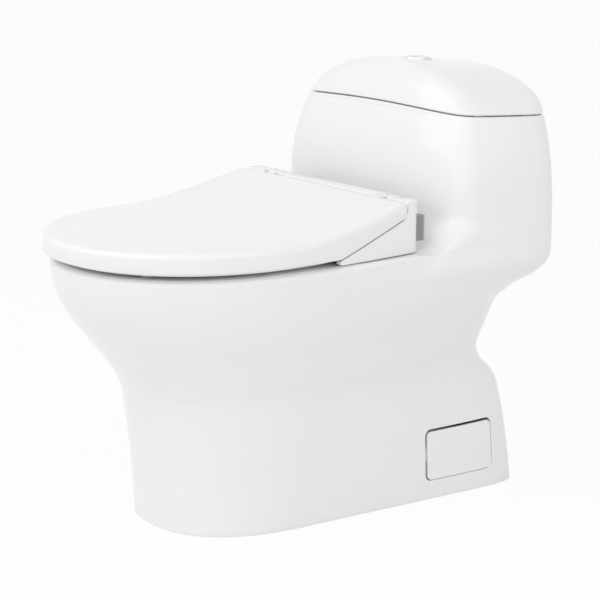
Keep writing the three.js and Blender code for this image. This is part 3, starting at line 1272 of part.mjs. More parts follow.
// Seat, lid and hinge
add(toilet, 'seat_lid', seatLid(), SEAT_PLASTIC);
add(toilet, 'seat_ring', seatRing(), SEAT_PLASTIC);
add(toilet, 'seat_hinge_base', seatBase(), SEAT_PLASTIC);
add(toilet, 'seat_base_plate', seatBasePlate(), STEEL);
for (const [side, name] of [[1, 'right'], [-1, 'left']]) {
  add(toilet, `seat_rear_buffer_${name}`, rearBuffer(side), GREY_RUBBER);
  add(toilet, `seat_hinge_pin_${name}`, pinAlong(side, 0, -LOOSE), STEEL);
}
add(toilet, 'seat_damper', damper(1), GREY_PLASTIC);
add(toilet, 'seat_lid_damper', damper(-1), GREY_PLASTIC);

// Rubber pads under the seat stand on the rim, and pads under the lid stand on the seat
const padShares = { front: [0.5, 0.74], side: [0.78, 0.12] };
for (const [side, name] of [[1, 'right'], [-1, 'left']]) {
  for (const [place, [across, ahead]] of Object.entries(padShares)) {
    const depth = mix(RIM_WIDEST_DEPTH, RIM_FRONT, ahead);
    const x = side * across * RIM_HALF;
    add(toilet, `seat_pad_${place}_${name}`,
      drum(PAD_RADIUS, SEAT_LIFT - 2 * CLEARANCE, SMALL_SIDES), CLEAR_RUBBER,
      x, depth, RIM_HEIGHT + CLEARANCE);
  }
  const depth = mix(RIM_WIDEST_DEPTH, RIM_FRONT, padShares.front[1]);
  const x = side * padShares.front[0] * RIM_HALF;
  const reach = lidTopHeight(x, depth) - SEAT_LID_WALL - PLAY - SEAT_TOP;
  add(toilet, `seat_lid_pad_${name}`, drum(PAD_RADIUS * 0.8, reach - CLEARANCE, SMALL_SIDES),
    CLEAR_RUBBER, x, depth, SEAT_TOP + CLEARANCE);
}

// Seat fixings: bolt, rubber bush and nut through the deck on each side, and behind each side
// cover its clip and the floor bolt with its washer
const washerZ = LUG_HEIGHT + CLEARANCE;
const boltSeat = washerZ + WASHER_THICKNESS + CLEARANCE;
for (const [side, name] of [[1, 'right'], [-1, 'left']]) {
  const seatBoltX = (side * SEAT_BOLT_SPACING) / 2;
  const seatBoltReach = DECK_THICKNESS + BASE_LIFT + NUT_HEIGHT * 1.6;
  add(toilet, `seat_bolt_${name}`, bolt(SEAT_BOLT_RADIUS, seatBoltReach), STEEL,
    seatBoltX, SEAT_BOLT_DEPTH, RIM_HEIGHT + BASE_LIFT);
  const bush = washer(SEAT_BOLT_HOLE - LOOSE, SEAT_BOLT_RADIUS + CLEARANCE, DECK_THICKNESS - SHOULDER);
  add(toilet, `seat_bolt_bush_${name}`, bush, BLACK_RUBBER,
    seatBoltX, SEAT_BOLT_DEPTH, HOLLOW_TOP + PLAY);
  const seatBoltNut = nut(SEAT_BOLT_HOLE * 1.6, SEAT_BOLT_RADIUS + CLEARANCE, NUT_HEIGHT);
  add(toilet, `seat_bolt_nut_${name}`, seatBoltNut, WHITE_PLASTIC,
    seatBoltX, SEAT_BOLT_DEPTH, HOLLOW_TOP - NUT_HEIGHT - CLEARANCE);
  add(toilet, `side_cover_${name}`, sideCover(side), SEAT_PLASTIC);
  add(toilet, `side_cover_clip_${name}`, coverClip(side), WHITE_PLASTIC);
  const floorWasher = washer(WASHER_RADIUS, FLOOR_BOLT_RADIUS + CLEARANCE, WASHER_THICKNESS);
  add(toilet, `floor_bolt_washer_${name}`, floorWasher, STEEL,
    side * FLOOR_BOLT_X, COVER_MIDDLE_DEPTH, washerZ);
  add(toilet, `floor_bolt_${name}`, bolt(FLOOR_BOLT_RADIUS, boltSeat - PLAY), STEEL,
    side * FLOOR_BOLT_X, COVER_MIDDLE_DEPTH, boltSeat);
}
add(toilet, 'outlet_seal', washer(HORN_RADIUS + CLEARANCE + SEAL_WIDTH, HORN_RADIUS + CLEARANCE,
  SEAL_HEIGHT), BLACK_RUBBER, 0, OUTLET_DEPTH, 1);

export default toilet;
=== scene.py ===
# %% [markdown]
# # A one-piece toilet, dressed for its photograph
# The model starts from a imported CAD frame, which holds every separate piece of the toilet in its
# real place. Blender gives the pieces that are seen a finer skin and every piece a finish.
# The frame stays as it was packed, so the finer skins are worked out from its own sizes.

# %% Load the frame
import json
import math

import bmesh
import bpy
import numpy as np
from mathutils import Matrix, Vector

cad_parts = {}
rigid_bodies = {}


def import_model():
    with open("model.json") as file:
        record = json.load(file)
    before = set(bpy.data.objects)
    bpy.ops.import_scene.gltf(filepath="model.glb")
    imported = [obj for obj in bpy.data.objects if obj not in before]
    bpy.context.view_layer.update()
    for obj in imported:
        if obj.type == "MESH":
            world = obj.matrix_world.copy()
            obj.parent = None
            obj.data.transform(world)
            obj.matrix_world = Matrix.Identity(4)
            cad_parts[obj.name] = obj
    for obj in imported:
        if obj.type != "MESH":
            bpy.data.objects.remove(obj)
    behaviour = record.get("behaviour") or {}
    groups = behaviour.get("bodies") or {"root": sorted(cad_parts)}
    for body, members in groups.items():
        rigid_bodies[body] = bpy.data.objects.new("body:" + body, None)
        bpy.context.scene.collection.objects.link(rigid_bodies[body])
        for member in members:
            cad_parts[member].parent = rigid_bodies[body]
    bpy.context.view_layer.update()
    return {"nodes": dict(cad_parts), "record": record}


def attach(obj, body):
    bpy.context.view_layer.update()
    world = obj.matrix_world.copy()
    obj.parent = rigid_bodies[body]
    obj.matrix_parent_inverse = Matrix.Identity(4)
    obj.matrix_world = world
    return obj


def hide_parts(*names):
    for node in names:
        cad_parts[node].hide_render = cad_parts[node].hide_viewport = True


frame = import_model()

# %% [markdown]
# ## The camera
# The photograph looks down a little on the toilet from its front right. The camera stands about
# 3.3 m away with a long lens, which keeps upright edges nearly parallel, and it is set by its
# three axes, because the picture's own edges gave those axes.

# %% Camera
def new_object(name, data):
    """An object in the scene that holds a mesh, a camera or a lamp."""
    made = bpy.data.objects.new(name, data)
    bpy.context.collection.objects.link(made)
    return made


azimuth, elevation = math.radians(53.59), math.radians(12.54)
right = Vector((math.cos(azimuth), math.sin(azimuth), 0))
back = Vector((math.sin(azimuth) * math.cos(elevation), -math.cos(azimuth) * math.cos(elevation),
               math.sin(elevation)))
up = back.cross(right)
camera = new_object("camera", bpy.data.cameras.new("camera"))
camera.data.sensor_width = 36
camera.data.lens = 136.13
axes = Matrix((right, up, back)).transposed()
camera.matrix_world = Matrix.Translation((2.5659, -1.8514, 0.9984)) @ axes.to_4x4()
bpy.context.scene.camera = camera
print("camera:", round(camera.data.lens, 1), "mm lens")

# %% [markdown]
# ## Meshes from rows of points
# Most of a toilet's skin is a stack of plan outlines, as a potter's mould is. So most pieces
# here are rings of points joined into a closed skin. The points are worked out in millimetres
# and turned to metres when the mesh is made. A plan point is given as x and its depth, which is
# its distance forward of the wall.

# %% Mesh helpers
MM, WALL = 0.001, 349.0
BODY_HALF, BACK = 220.1, 0.2
SIDES = (("right", 1), ("left", -1))


def make_mesh(name, points, faces, sharp=35):
    """A smooth-shaded object from points in mm, with edges sharper than an angle kept crisp."""
    mesh = bpy.data.meshes.new(name)
    mesh.from_pydata((np.asarray(points) * MM).tolist(), [], faces)
    made = new_object(name, mesh)
    tidy(made, sharp)
    return made


def tidy(made, sharp):
    """Merges doubled points, turns the faces outwards and shades the skin."""
    work = bmesh.new()
    work.from_mesh(made.data)
    bmesh.ops.remove_doubles(work, verts=work.verts, dist=2e-6)
    bmesh.ops.dissolve_degenerate(work, edges=work.edges, dist=1e-6)
    bmesh.ops.recalc_face_normals(work, faces=work.faces)
    if work.calc_volume(signed=True) < 0:
        bmesh.ops.reverse_faces(work, faces=work.faces)
    work.to_mesh(made.data)
    work.free()
    made.data.shade_smooth()
    made.data.set_sharp_from_angle(angle=math.radians(sharp))


def circle(count):
    """Cosines and sines of evenly spread angles."""
    turn = np.arange(count) * 2 * np.pi / count
    return np.cos(turn), np.sin(turn)


def flat_ring(x, depth, z):
    """Ring points from x, depth and height, each a row of numbers or one for the whole ring."""
    x, depth, z = np.broadcast_arrays(x, depth, z)
    return np.stack([x, WALL - depth, z], axis=-1).astype(float)


def as_ring(row):
    """A row of x, depth and height as ring points, kept inside the CAD's own box."""
    x, depth, z = row
    return flat_ring(np.clip(x, -BODY_HALF, BODY_HALF), np.maximum(depth, BACK), z)


def loft(name, rings, sharp=35, ends=True):
    """A closed skin through rings of equally many points, each an (n, 3) array in mm."""
    count = len(rings[0])
    around = [(i, (i + 1) % count) for i in range(count)]
    last = (len(rings) - 1) * count
    points = [p for ring in rings for p in ring]
    faces = [(k + i, k + j, k + count + j, k + count + i)
             for k in range(0, last, count) for i, j in around]
    for base, ring in ((0, rings[0]), (last, rings[-1])) if ends else ():
        points.append(np.mean(ring, axis=0))
        faces += [(len(points) - 1, base + i, base + j) for i, j in around]
    return make_mesh(name, points, faces, sharp)


def turned(name, x, depth, profile, bored=False, sides=64):
    """A profile of radius and height points turned about an upright axis at a place in plan."""
    c, s = circle(sides)
    rings = [flat_ring(x + r * c, depth - r * s, z) for r, z in profile]
    return loft(name, rings + rings[:1] if bored else rings, 40, ends=not bored)


def round_tool(name, radius, x, depth, z, sides=64):
    """A round bar standing at a plan point, used only to cut or join."""
    return turned(name, x, depth, [(radius, height) for height in z], False, sides)


def block(name, x, y, z):
    """A box between two limits on each axis."""
    corners = ((0, 0), (1, 0), (1, 1), (0, 1))
    return loft(name, [np.array([(x[i], y[j], float(h)) for i, j in corners]) for h in z])


def box_tool(name, x, depth, z):
    """A box between limits in x, depth and height, used only to cut or join."""
    return block(name, x, [WALL - d for d in depth], z)


def box_pair(x, depth, z):
    """The same box on the right and on the left."""
    return [box_tool("box_" + name, sorted((side * x[0], side * x[1])), depth, z)
            for name, side in SIDES]


def bar_tool(name, section, low, high, side=1):
    """A bar along X with a section given as depth and height points, hollow corners included."""
    count = len(section)
    points = [(x, WALL - depth, z) for x in sorted((side * low, side * high))
              for depth, z in section]
    faces = [(i, (i + 1) % count, count + (i + 1) % count, count + i) for i in range(count)]
    faces += [tuple(range(count)), tuple(range(count, 2 * count))]
    return make_mesh(name, points, faces)


def arc_points(centre, radius, start, end, steps=5):
    return [(centre[0] + radius * math.cos(a), centre[1] + radius * math.sin(a))
            for a in np.radians(np.linspace(start, end, steps))]


def keep_plain(target):
    """Turns a piece and its modifiers into a plain mesh."""
    shaped = target.evaluated_get(bpy.context.evaluated_depsgraph_get())
    target.data = bpy.data.meshes.new_from_object(shaped)
    target.modifiers.clear()


def shape_with(operation, target, tools):
    """Joins, cuts or intersects a piece with other closed pieces, which are then thrown away."""
    for tool in tools:
        step = target.modifiers.new("step", "BOOLEAN")
        step.operation, step.solver, step.object = operation, "MANIFOLD", tool
    keep_plain(target)
    for tool in tools:
        bpy.data.objects.remove(tool)


def cut(target, *tools):
    shape_with("DIFFERENCE", target, tools)


def join(target, *tools):
    shape_with("UNION", target, tools)


def soften(target, width, sharp):
    """Rounds the sharp edges of a piece over by a width in mm."""
    tidy(target, 30)
    edge = target.modifiers.new("soften", "BEVEL")
    edge.width, edge.segments, edge.limit_method = width * MM, 3, "ANGLE"
    edge.angle_limit = math.radians(50)
    keep_plain(target)
    tidy(target, sharp)


def mix(a, b, share):
    return a + (b - a) * share


def ease(share):
    share = np.clip(share, 0, 1)
    return share * share * (3 - 2 * share)


def smooth_max(a, b, blend):
    """The larger of two values, with the crossing rounded off."""
    if blend <= 0:
        return np.maximum(a, b)
    h = np.clip(0.5 + 0.5 * (a - b) / blend, 0, 1)
    return mix(b, a, h) + blend * h * (1 - h)


# %% [markdown]
# ## The plan outlines of the china
# Looked at from above, the toilet is a rounded front that runs into a rounded square at the
# wall. A superellipse gives both: its power says how square it is, and the front and rear
# halves each have their own power. The table holds one row for each height at which the outline
# changes its way, and a smooth curve runs through the rows, so no crease shows between them.

# %% Outline table
RIM_WIDEST = 466.0
# height, half-width ahead, half-width at the wall, front, widest, back, front and rear power
LEVELS = np.array([
    (0, 134, 141.6, 565, 386, 4, 2.5, 14), (60, 134, 139, 569, 386, 8, 2.5, 12),
    (150, 137, 132, 579, 388, 18, 2.45, 9), (170, 138, 130, 582, 390, 26, 2.45, 8),
    (188, 140, 132, 585, 394, 44, 2.4, 7), (215, 150, 144, 597, 404, 54, 2.35, 6),
    (250, 164, 158, 623, 424, 46, 2.25, 6), (290, 183, 184, 655, 445, 42, 2.2, 6),
    (308, 189, 200, 668, 455, 24, 2.15, 6), (330, 195, 211, 680, 461, 4, 2.1, 8),
    (356, 199.8, 218.6, 687.3, 463.5, 0.2, 2.1, 9), (381, 201.8, 220.2, 690.8, 466, 0.2, 2.1, 10),
])


def smooth_table(table, at_heights):
    """Runs a curve that never overshoots through the rows of a table."""
    z, values = table[:, 0], table[:, 1:]
    step = np.diff(z)[:, None]
    slope = np.diff(values, axis=0) / step
    a, b = slope[:-1], slope[1:]
    inner = np.where(a * b > 0, 2 * a * b / (a + b + 1e-12), 0)
    tangent = np.vstack([slope[:1], inner, slope[-1:]])
    k = np.clip(np.searchsorted(z, at_heights, side="right") - 1, 0, len(z) - 2)
    h = step[k]
    t = (at_heights - z[k])[:, None] / h
    return ((2 * t**3 - 3 * t**2 + 1) * values[k] + (t**3 - 2 * t**2 + t) * h * tangent[k]
            + (-2 * t**3 + 3 * t**2) * values[k + 1] + (t**3 - t**2) * h * tangent[k + 1])


def half_width(mid, rear, depth):
    return mix(mid, rear, ease((RIM_WIDEST - depth) / RIM_WIDEST))


def outline(mid, rear, front, widest, back, front_power, rear_power, count=1440):
    """The plan loop of one level as x and depth, with evenly spread points."""
    c, s = circle(count)
    power = np.where(s > 0, front_power, rear_power)
    reach = (np.abs(c) ** power + np.abs(s) ** power) ** (-1 / power)
    along = s * reach
    depth = widest + np.where(along > 0, along * (front - widest), along * (widest - back))
    return c * reach * half_width(mid, rear, depth), depth


# %% [markdown]
# The columns of the skin all start from one middle point and are closer together where the rim
# or the tank turns a corner, because that is where facets would show. Both loops are measured,
# by length and by how much they turn, and the columns share the measure out evenly.

# %% Columns
BODY_CENTRE, COLUMNS, TANK_WIDEST = 150.0, 300, 122.0
RIM_SHARES, TANK_SHARES = (0.4, 0.15), (0.2, 0.25)
ticks = np.linspace(-np.pi, np.pi, 2001)


def spread_measure(level, shares):
    """How an outline's length and bend add up with the angle, weighed by two shares."""
    x, depth = outline(*level, count=4000)
    dx, dd = np.roll(x, -1) - x, np.roll(depth, -1) - depth
    length = np.hypot(dx, dd)
    heading = np.unwrap(np.arctan2(dd, dx))
    bend = np.abs(np.roll(heading, -1) - heading)
    bend[-1] = bend[0]
    turn = np.unwrap(np.arctan2(depth - BODY_CENTRE, x)) + np.pi
    order = np.argsort(turn % (2 * np.pi))
    angle = (turn % (2 * np.pi) - np.pi)[order]
    return [share * np.interp(ticks, angle, np.cumsum((part / part.sum())[order]))
            for share, part in zip(shares, (length, bend))]


parts = (spread_measure(LEVELS[-1, 1:], RIM_SHARES)
         + spread_measure((175, 215, 197, TANK_WIDEST, BACK, 4.7, 8), TANK_SHARES))
measure = sum(parts)
low, high = np.interp([-np.pi / 2, np.pi / 2], ticks, measure)
places = mix(low, high, (np.arange(COLUMNS // 2) + 0.5) / (COLUMNS // 2))
right_half = np.interp(places, measure, ticks)
directions = np.concatenate([right_half, np.pi - right_half[::-1]])
directions = np.sort((directions + np.pi) % (2 * np.pi) - np.pi)
print("columns:", COLUMNS)


def reach_of(level, centre=BODY_CENTRE):
    """How far an outline reaches from the middle, in the direction of each column."""
    x, depth = outline(*level)
    turn = np.arctan2(depth - centre, x)
    order = np.argsort(turn)
    turn, px, pd = turn[order], x[order], depth[order] - centre
    k = np.searchsorted(turn, directions) % len(turn)
    ax, ad, bx, bd = px[k - 1], pd[k - 1], px[k], pd[k]
    dx, dd = np.cos(directions), np.sin(directions)
    return (ax * bd - ad * bx) / (dx * (bd - ad) - dd * (bx - ax))


def polar_row(reach, z, centre=BODY_CENTRE):
    """Points at a reach from the middle, one in each column: x, depth and height."""
    return np.array([reach * np.cos(directions), centre + reach * np.sin(directions),
                     np.full(COLUMNS, z)])


# %% [markdown]
# ## The tank's outline
# The tank stands on the rear of the rim and draws in towards its lid. At its foot it sweeps
# forward in a quarter circle, so that water and dirt find no corner. Below the rim the same
# outline tucks in under itself, where the tank's underside runs into the pedestal's neck.

# %% Tank levels
RIM, FILLET, SEAM = 381.0, 48.0, 561.5
FILLET_TOP = RIM + FILLET
DOME_RISE, DOME_LEAN, DOME_FALL, DOME_TURN = 67.5, 37.0, 13.0, 26.5
SEAM_ARCH, SEAM_FALL, SEAM_GAP = 7.0, math.tan(math.radians(2.4)), 1.8
SEAM_HALF, SEAM_DEPTH, CROWN_SHARE = 198, 177.0, 0.979
CHINA_WALL, TUCK, TUCK_DROP, TUCK_START = 11, 22.0, 52.0, 78


def drawn_level(level, by):
    """The sizes of an outline, drawn in by an amount all round."""
    mid, rear, front, widest, back, *powers = level
    return mid - by, rear - by, front - by, widest, back + by, *powers


def tank_level(z, by=0.0):
    """Sizes of the tank's outline at a height, drawn in by a wall thickness."""
    climb = np.clip((z - FILLET_TOP) / (SEAM - FILLET_TOP), 0, 1)
    rise = climb**2.3
    foot = 0 if by else np.clip((FILLET_TOP - z) / FILLET, 0, 1)
    sweep = FILLET * (1 - math.sqrt(max(0, 1 - foot**2)))
    return drawn_level((mix(mix(182, 201.8, ease(foot)), 145, rise), mix(220.2, SEAM_HALF, rise),
                        mix(201, SEAM_DEPTH, rise) + sweep, TANK_WIDEST, BACK,
                        mix(4.7, 14, foot**2), mix(8.5, 7.4, climb)), by)


def tank_row(z, by=0.0, more=0.0):
    """The tank's skin at one height, drawn in by a wall and set out by something more."""
    centre = mix(BODY_CENTRE, TANK_WIDEST, ease((z - RIM) / 60))
    return polar_row(reach_of(tank_level(z, by), centre) + more, z, centre)


def body_reach(z):
    """How far the body's skin reaches at a height, the tank's tucked underside included."""
    reach = reach_of(smooth_table(LEVELS, np.array([z]))[0])
    if z > RIM - TUCK_START:
        tucked = drawn_level(tank_level(RIM), TUCK * ((RIM - z) / TUCK_DROP) ** 3.5)
        reach = smooth_max(reach, reach_of(tucked), TUCK * float(ease((RIM - z) / 24)))
    return reach


# %% [markdown]
# ## The outside of the body
# The rows run up the pedestal and the bowl's flank, round the rim's edge, flat across the deck
# to the tank's foot, and up the tank to the joint with its lid. The lid's joint isn't level: it
# arches over the front and falls to the rear, so the last row is found on that arch.

# %% Seam and dome
def seam_height(x, depth):
    return SEAM + SEAM_ARCH * (1 - (x / SEAM_HALF) ** 2) - SEAM_FALL * (SEAM_DEPTH - depth)


def dome_arch(rise, crown):
    lifted = np.clip((rise + DOME_TURN) / (crown + DOME_TURN), 0, 1)
    return (1 - lifted**2.2) ** (1 / 2.2)


def dome_row(share, by=0.0, roof=0.0):
    """The tank's outline carried over the arch, under a roof of some thickness."""
    mid, rear, front, widest, rear_edge, *_ = tank_level(SEAM, by)
    x, depth, _ = tank_row(SEAM, by)
    along = np.where(depth > widest, (depth - widest) / (front - widest),
                     (depth - widest) / (widest - rear_edge))
    across = x / half_width(mid, rear, depth)
    crown = DOME_RISE - roof
    rise = share * crown
    narrow = dome_arch(rise, crown) / dome_arch(0.0, crown)
    new_front = front - DOME_LEAN * (rise / DOME_RISE) ** 2
    new_widest = mix(widest, min(widest, new_front / 2 + widest / 8), float(ease(share / 0.3)))
    new_depth = new_widest + np.where(along > 0, along * (new_front - new_widest),
                                      along * (new_widest - rear_edge))
    new_x = across * half_width(mid, rear, new_depth) * narrow
    fall = DOME_FALL * share * np.clip(1 - new_depth / (SEAM_DEPTH - DOME_LEAN), 0, 1)
    return np.array([new_x, new_depth, SEAM + rise * CROWN_SHARE - fall])


def cut_row(lift):
    """For each column, the row number at which the tower crosses the lid's joint."""
    over = tower[:, 2] - (seam_height(tower[:, 0], tower[:, 1]) + lift)
    k = np.argmax(over > 0, axis=0) - 1
    j = np.arange(COLUMNS)
    return k + over[k, j] / (over[k, j] - over[k + 1, j])


def row_at(number):
    """The tower at a row number that may lie between rows and differ from column to column."""
    k = np.clip(np.floor(number).astype(int), 0, len(tower) - 2)
    t, j = number - k, np.arange(COLUMNS)
    return mix(tower[k, :, j], tower[k + 1, :, j], t[:, None]).T


def drawn_in(row, by):
    """A row moved inwards by an amount, square to its own outline."""
    x, depth, z = row
    dx, dd = np.roll(x, -1) - np.roll(x, 1), np.roll(depth, -1) - np.roll(depth, 1)
    size = np.hypot(dx, dd) + 1e-9
    return np.array([x - by * dd / size, depth + by * dx / size, z])


def rounded_edge(row, into, lift, turns):
    """Rows that round an edge over, going in and up by up to two signed radii."""
    rows = []
    for turn in np.radians(turns):
        rows.append(drawn_in(row, into * (1 - math.cos(turn))))
        rows[-1][2] = row[2] + lift * (1 - math.sin(turn))
    return rows


# The tower is the tank's skin from its fillet to its crown, as a grid of rows and columns.
heights = np.concatenate([np.linspace(FILLET_TOP, 545, 40), np.linspace(546, SEAM - 0.5, 24)])
shares = np.concatenate([np.linspace(0, 0.2, 20), np.linspace(0.22, 0.9, 30),
                         1 - 0.1 * np.linspace(1, 0.04, 14)[1:] ** 2])
tower = np.array([tank_row(z) for z in heights] + [dome_row(share) for share in shares])
print("tank skin:", len(tower), "rows")

# %% Body outside
MOUTH_EDGE, RIM_EDGE, EDGE_FROM, EDGE_RUN = 1.8, 10, 230, 170
OUT_TURNS = (0, 22, 45, 68, 90)
IN_TURNS = OUT_TURNS[::-1]
grid = [polar_row(body_reach(z) - by, z)
        for z, by in ((0, 2.6), (0.35, 1.3), (1.2, 0.35), (2.6, 0))]
for z in np.concatenate([np.linspace(6, 366, 92), [367.5, 369, 370.2]]):
    grid.append(polar_row(body_reach(z), z))
rim_reach, low_reach = body_reach(RIM), body_reach(RIM - RIM_EDGE)
edge = RIM_EDGE * ease((BODY_CENTRE + rim_reach * np.sin(directions) - EDGE_FROM) / EDGE_RUN)
for turn in np.radians([0, 15, 30, 45, 60, 75, 90]):
    z = RIM - edge * (1 - math.sin(turn))
    row = polar_row(mix(low_reach, rim_reach, (z - RIM + RIM_EDGE) / RIM_EDGE), z)
    grid.append(drawn_in(row, edge * (1 - math.cos(turn))))
# Where the tank's foot comes close to the rim, the two are brought together.
gap = rim_reach - reach_of(tank_level(RIM))
weld = gap * (1 - ease((gap - 0.8) / 3))
for turn in np.radians(np.linspace(0, 90, 19)):
    z = RIM + FILLET * (1 - math.cos(turn))
    grid.append(tank_row(z, more=weld * (1 - (z - RIM) / FILLET) ** 2))
top = cut_row(0.0)
grid += [row_at(share * (top - 3)) for share in np.linspace(0.02, 1, 46)]
grid += rounded_edge(row_at(top), MOUTH_EDGE, -MOUTH_EDGE, OUT_TURNS)
# From here on the rows go down the inside of the tank, which is a well in the same skin.
inner = tank_row(SEAM, CHINA_WALL)
inner[2] = seam_height(inner[0], inner[1])
grid += rounded_edge(inner, -MOUTH_EDGE, -MOUTH_EDGE, IN_TURNS)
grid += [tank_row(z, CHINA_WALL) for z in np.linspace(545, FILLET_TOP, 14)]
well = tank_row(FILLET_TOP, CHINA_WALL)
for by, z in ((0, 372.6), (4, 354), (10, 341), (14, 335.5), (18, 335)):
    grid.append(drawn_in(well, by))
    grid[-1][2] = z
china = loft("china_body_skin", [as_ring(row) for row in grid], 32)
print("body outside:", len(china.data.polygons), "faces")

# %% [markdown]
# ## The hollows and passages
# A china toilet is slip-cast: a thin wall everywhere, hollow under the bowl, with the trapway
# and the flush channel as pipes inside it. They only show with the lid up, from beneath or with
# a cover off, so they are cut in the same order as in the frame.

# %% Solid tools
def level_ring(level, by, z, count):
    """An outline drawn in by an amount, as a flat ring."""
    return flat_ring(*outline(*drawn_level(level, by), count), z)


def level_rings(levels, by, count=120):
    """The body's outlines at given heights, drawn in by a wall, as rings for a loft."""
    return [level_ring(smooth_table(LEVELS, np.array([source]))[0], by, z, count)
            for z, source in levels]


# height, width, reach ahead and reach behind, as shares of the bowl's own sizes
BOWL = np.array([(0, 0, 0, 0), (0.09, 0.1, 0.07, 0.25), (0.21, 0.18, 0.12, 0.42),
                 (0.34, 0.33, 0.24, 0.64), (0.5, 0.6, 0.49, 0.85), (0.7, 0.87, 0.79, 1.02),
                 (0.87, 1, 0.95, 1.07), (0.965, 1.02, 1, 1.03), (1, 1.02, 1, 1.02)])
BOWL_FLOOR, BOWL_MIDDLE = 76, 490


def bowl_tool(name, by, top, mouth=0.0):
    """The bowl's inside, or its outer shell when grown by the wall, with a rounded mouth."""
    heights = np.linspace(0, 1, 46)
    rings = []
    for height, (width, ahead, behind) in zip(heights, smooth_table(BOWL, heights)):
        z = mix(BOWL_FLOOR, RIM - mouth, height) if height else BOWL_FLOOR - by
        half = mix(25, 143, width)
        level = (half, half, mix(430, 646, ahead), mix(405, BOWL_MIDDLE, height),
                 mix(380, 352, behind), 2.15, 2.3)
        rings.append(level_ring(level, -by, min(z, top + height), 120))
    last = rings[-1]
    away = last - np.array([0, WALL - BOWL_MIDDLE, 0])
    for turn in np.radians([18, 36, 54, 72, 90] if mouth else []):
        ring = last + away / np.hypot(*away[:, :2].T)[:, None] * mouth * (1 - math.cos(turn))
        ring[:, 2] = RIM - mouth * (1 - math.sin(turn))
        rings.append(ring)
    if not by:
        ring = rings[-1].copy()
        ring[:, 2] = top
        rings.append(ring)
    return loft(name, rings)


PIPE_STEPS, PIPE_SIDES = 90, 48


def pipe_tool(name, route, radius):
    """A round pipe along a curve through points of depth and height in the mirror plane."""
    points = np.array(route, float)
    padded = np.vstack([2 * points[0] - points[1], points, 2 * points[-1] - points[-2]])
    line = []
    for k in range(len(points) - 1):
        p0, p1, p2, p3 = padded[k:k + 4]
        for t in np.arange(0, 1, (len(points) - 1) / PIPE_STEPS):
            line.append(0.5 * (2 * p1 + (p2 - p0) * t + (2 * p0 - 5 * p1 + 4 * p2 - p3) * t**2
                               + (3 * p1 - 3 * p2 + p3 - p0) * t**3))
    line = np.array(line + [points[-1]])
    # Even steps and a little smoothing keep every bend wider than the pipe, so no rings cross.
    run = np.concatenate([[0], np.cumsum(np.linalg.norm(np.diff(line, axis=0), axis=1))])
    even = np.linspace(0, run[-1], PIPE_STEPS)
    line = np.stack([np.interp(even, run, part) for part in line.T], axis=-1)
    for _ in range(6):
        line[1:-1] = (line[:-2] + 2 * line[1:-1] + line[2:]) / 4
    along = np.gradient(line, axis=0)
    along /= np.linalg.norm(along, axis=1)[:, None]
    across, out = np.array(circle(PIPE_SIDES)) * radius
    return loft(name, [flat_ring(across, depth - az * out, z + ad * out)
                       for (depth, z), (ad, az) in zip(line, along)])


FLOOR_BOLT_X, FLOOR_BOLT_DEPTH, COVER_MIDDLE, COVER_SETTLE = 111.21, 118.5, 64.25, 1.8
SEAT_BOLT_X, SEAT_BOLT_DEPTH = 78, 273.5
COVER_ALONG, COVER_UP, COVER_CORNER = 53.5, 28.25, 10


def cover_tool(side, margin, settle=0.0):
    """A prism along X with the side cover's outline, drawn in by a margin and raised."""
    plan = []
    for sx, sz, start in ((1, 1, 0), (-1, 1, 90), (-1, -1, 180), (1, -1, 270)):
        plan += arc_points((COVER_ALONG * sx, COVER_UP * sz), COVER_CORNER - margin,
                           start, start + 90, 8)
    along, up = np.array(plan).T
    return loft("cover_plan", [flat_ring(side * x, FLOOR_BOLT_DEPTH + settle + along,
                                         COVER_MIDDLE + settle + up) for x in (111.0, 154.0)])


TRAP = [(405, 102), (354, 102), (315, 135), (285, 180), (250, 213), (210, 211), (182, 172),
        (178, 125), (205, 88), (255, 66), (292, 50), (305, 26)]
CHANNEL = [(96.5, 320.2), (107.5, 304.4), (140.5, 284), (249.8, 284), (362, 284)]
VALVE, OUTLET, FILL_X, FILL_DEPTH = 96.48, 305, -125.0, 46.0

# %% Hollow the body
levels = [(-12, 0)] + [(z, z) for z in np.linspace(0, 330, 34)] + [(350, 330)]
hollow = loft("hollow", level_rings(levels, CHINA_WALL))
cut(hollow, box_tool("under_tank", (-221, 221), (-5, 223), (300, 700)))
inner = bowl_tool("bowl_shell", 10, 362)
join(inner, pipe_tool("trap_shell", TRAP, 35), pipe_tool("channel_shell", CHANNEL, 31),
     round_tool("horn", 38, 0, OUTLET, (0, 52)), *box_pair((93.2, 135.2), (96.5, 140.5), (0, 16)))
shape_with("INTERSECT", inner, [new_object("outside_copy", china.data.copy())])
cut(china, hollow)
join(china, inner)
holes = [bowl_tool("bowl", 0, 393, 6), pipe_tool("trap", TRAP, 26),
         pipe_tool("channel", CHANNEL, 22), round_tool("outlet", 26, 0, OUTLET, (-12, 39)),
         round_tool("valve_hole", 30.1, 0, VALVE, (306, 347)),
         round_tool("fill_hole", 10.6, FILL_X, FILL_DEPTH, (300, 347)),
         round_tool("fill_pocket", 18, FILL_X, FILL_DEPTH, (265, 323))]
holes += [cover_tool(side, 0, COVER_SETTLE) for side in (1, -1)]
for side in (1, -1):
    holes += [round_tool("floor_hole", 4.6, side * 111.2, FLOOR_BOLT_DEPTH, (-12, 28), 32),
              round_tool("seat_hole", 8, side * SEAT_BOLT_X, SEAT_BOLT_DEPTH, (338, 393), 40)]
cut(china, *holes)
tidy(china, 32)
print("china body:", sum(len(p.vertices) - 2 for p in china.data.polygons), "triangles")

# %% [markdown]
# ## The tank lid
# The lid carries the tank's skin on over an arch that leans back. It is one closed skin as well:
# up the inside, round the lip that drops into the tank, across the joint and over the outside.

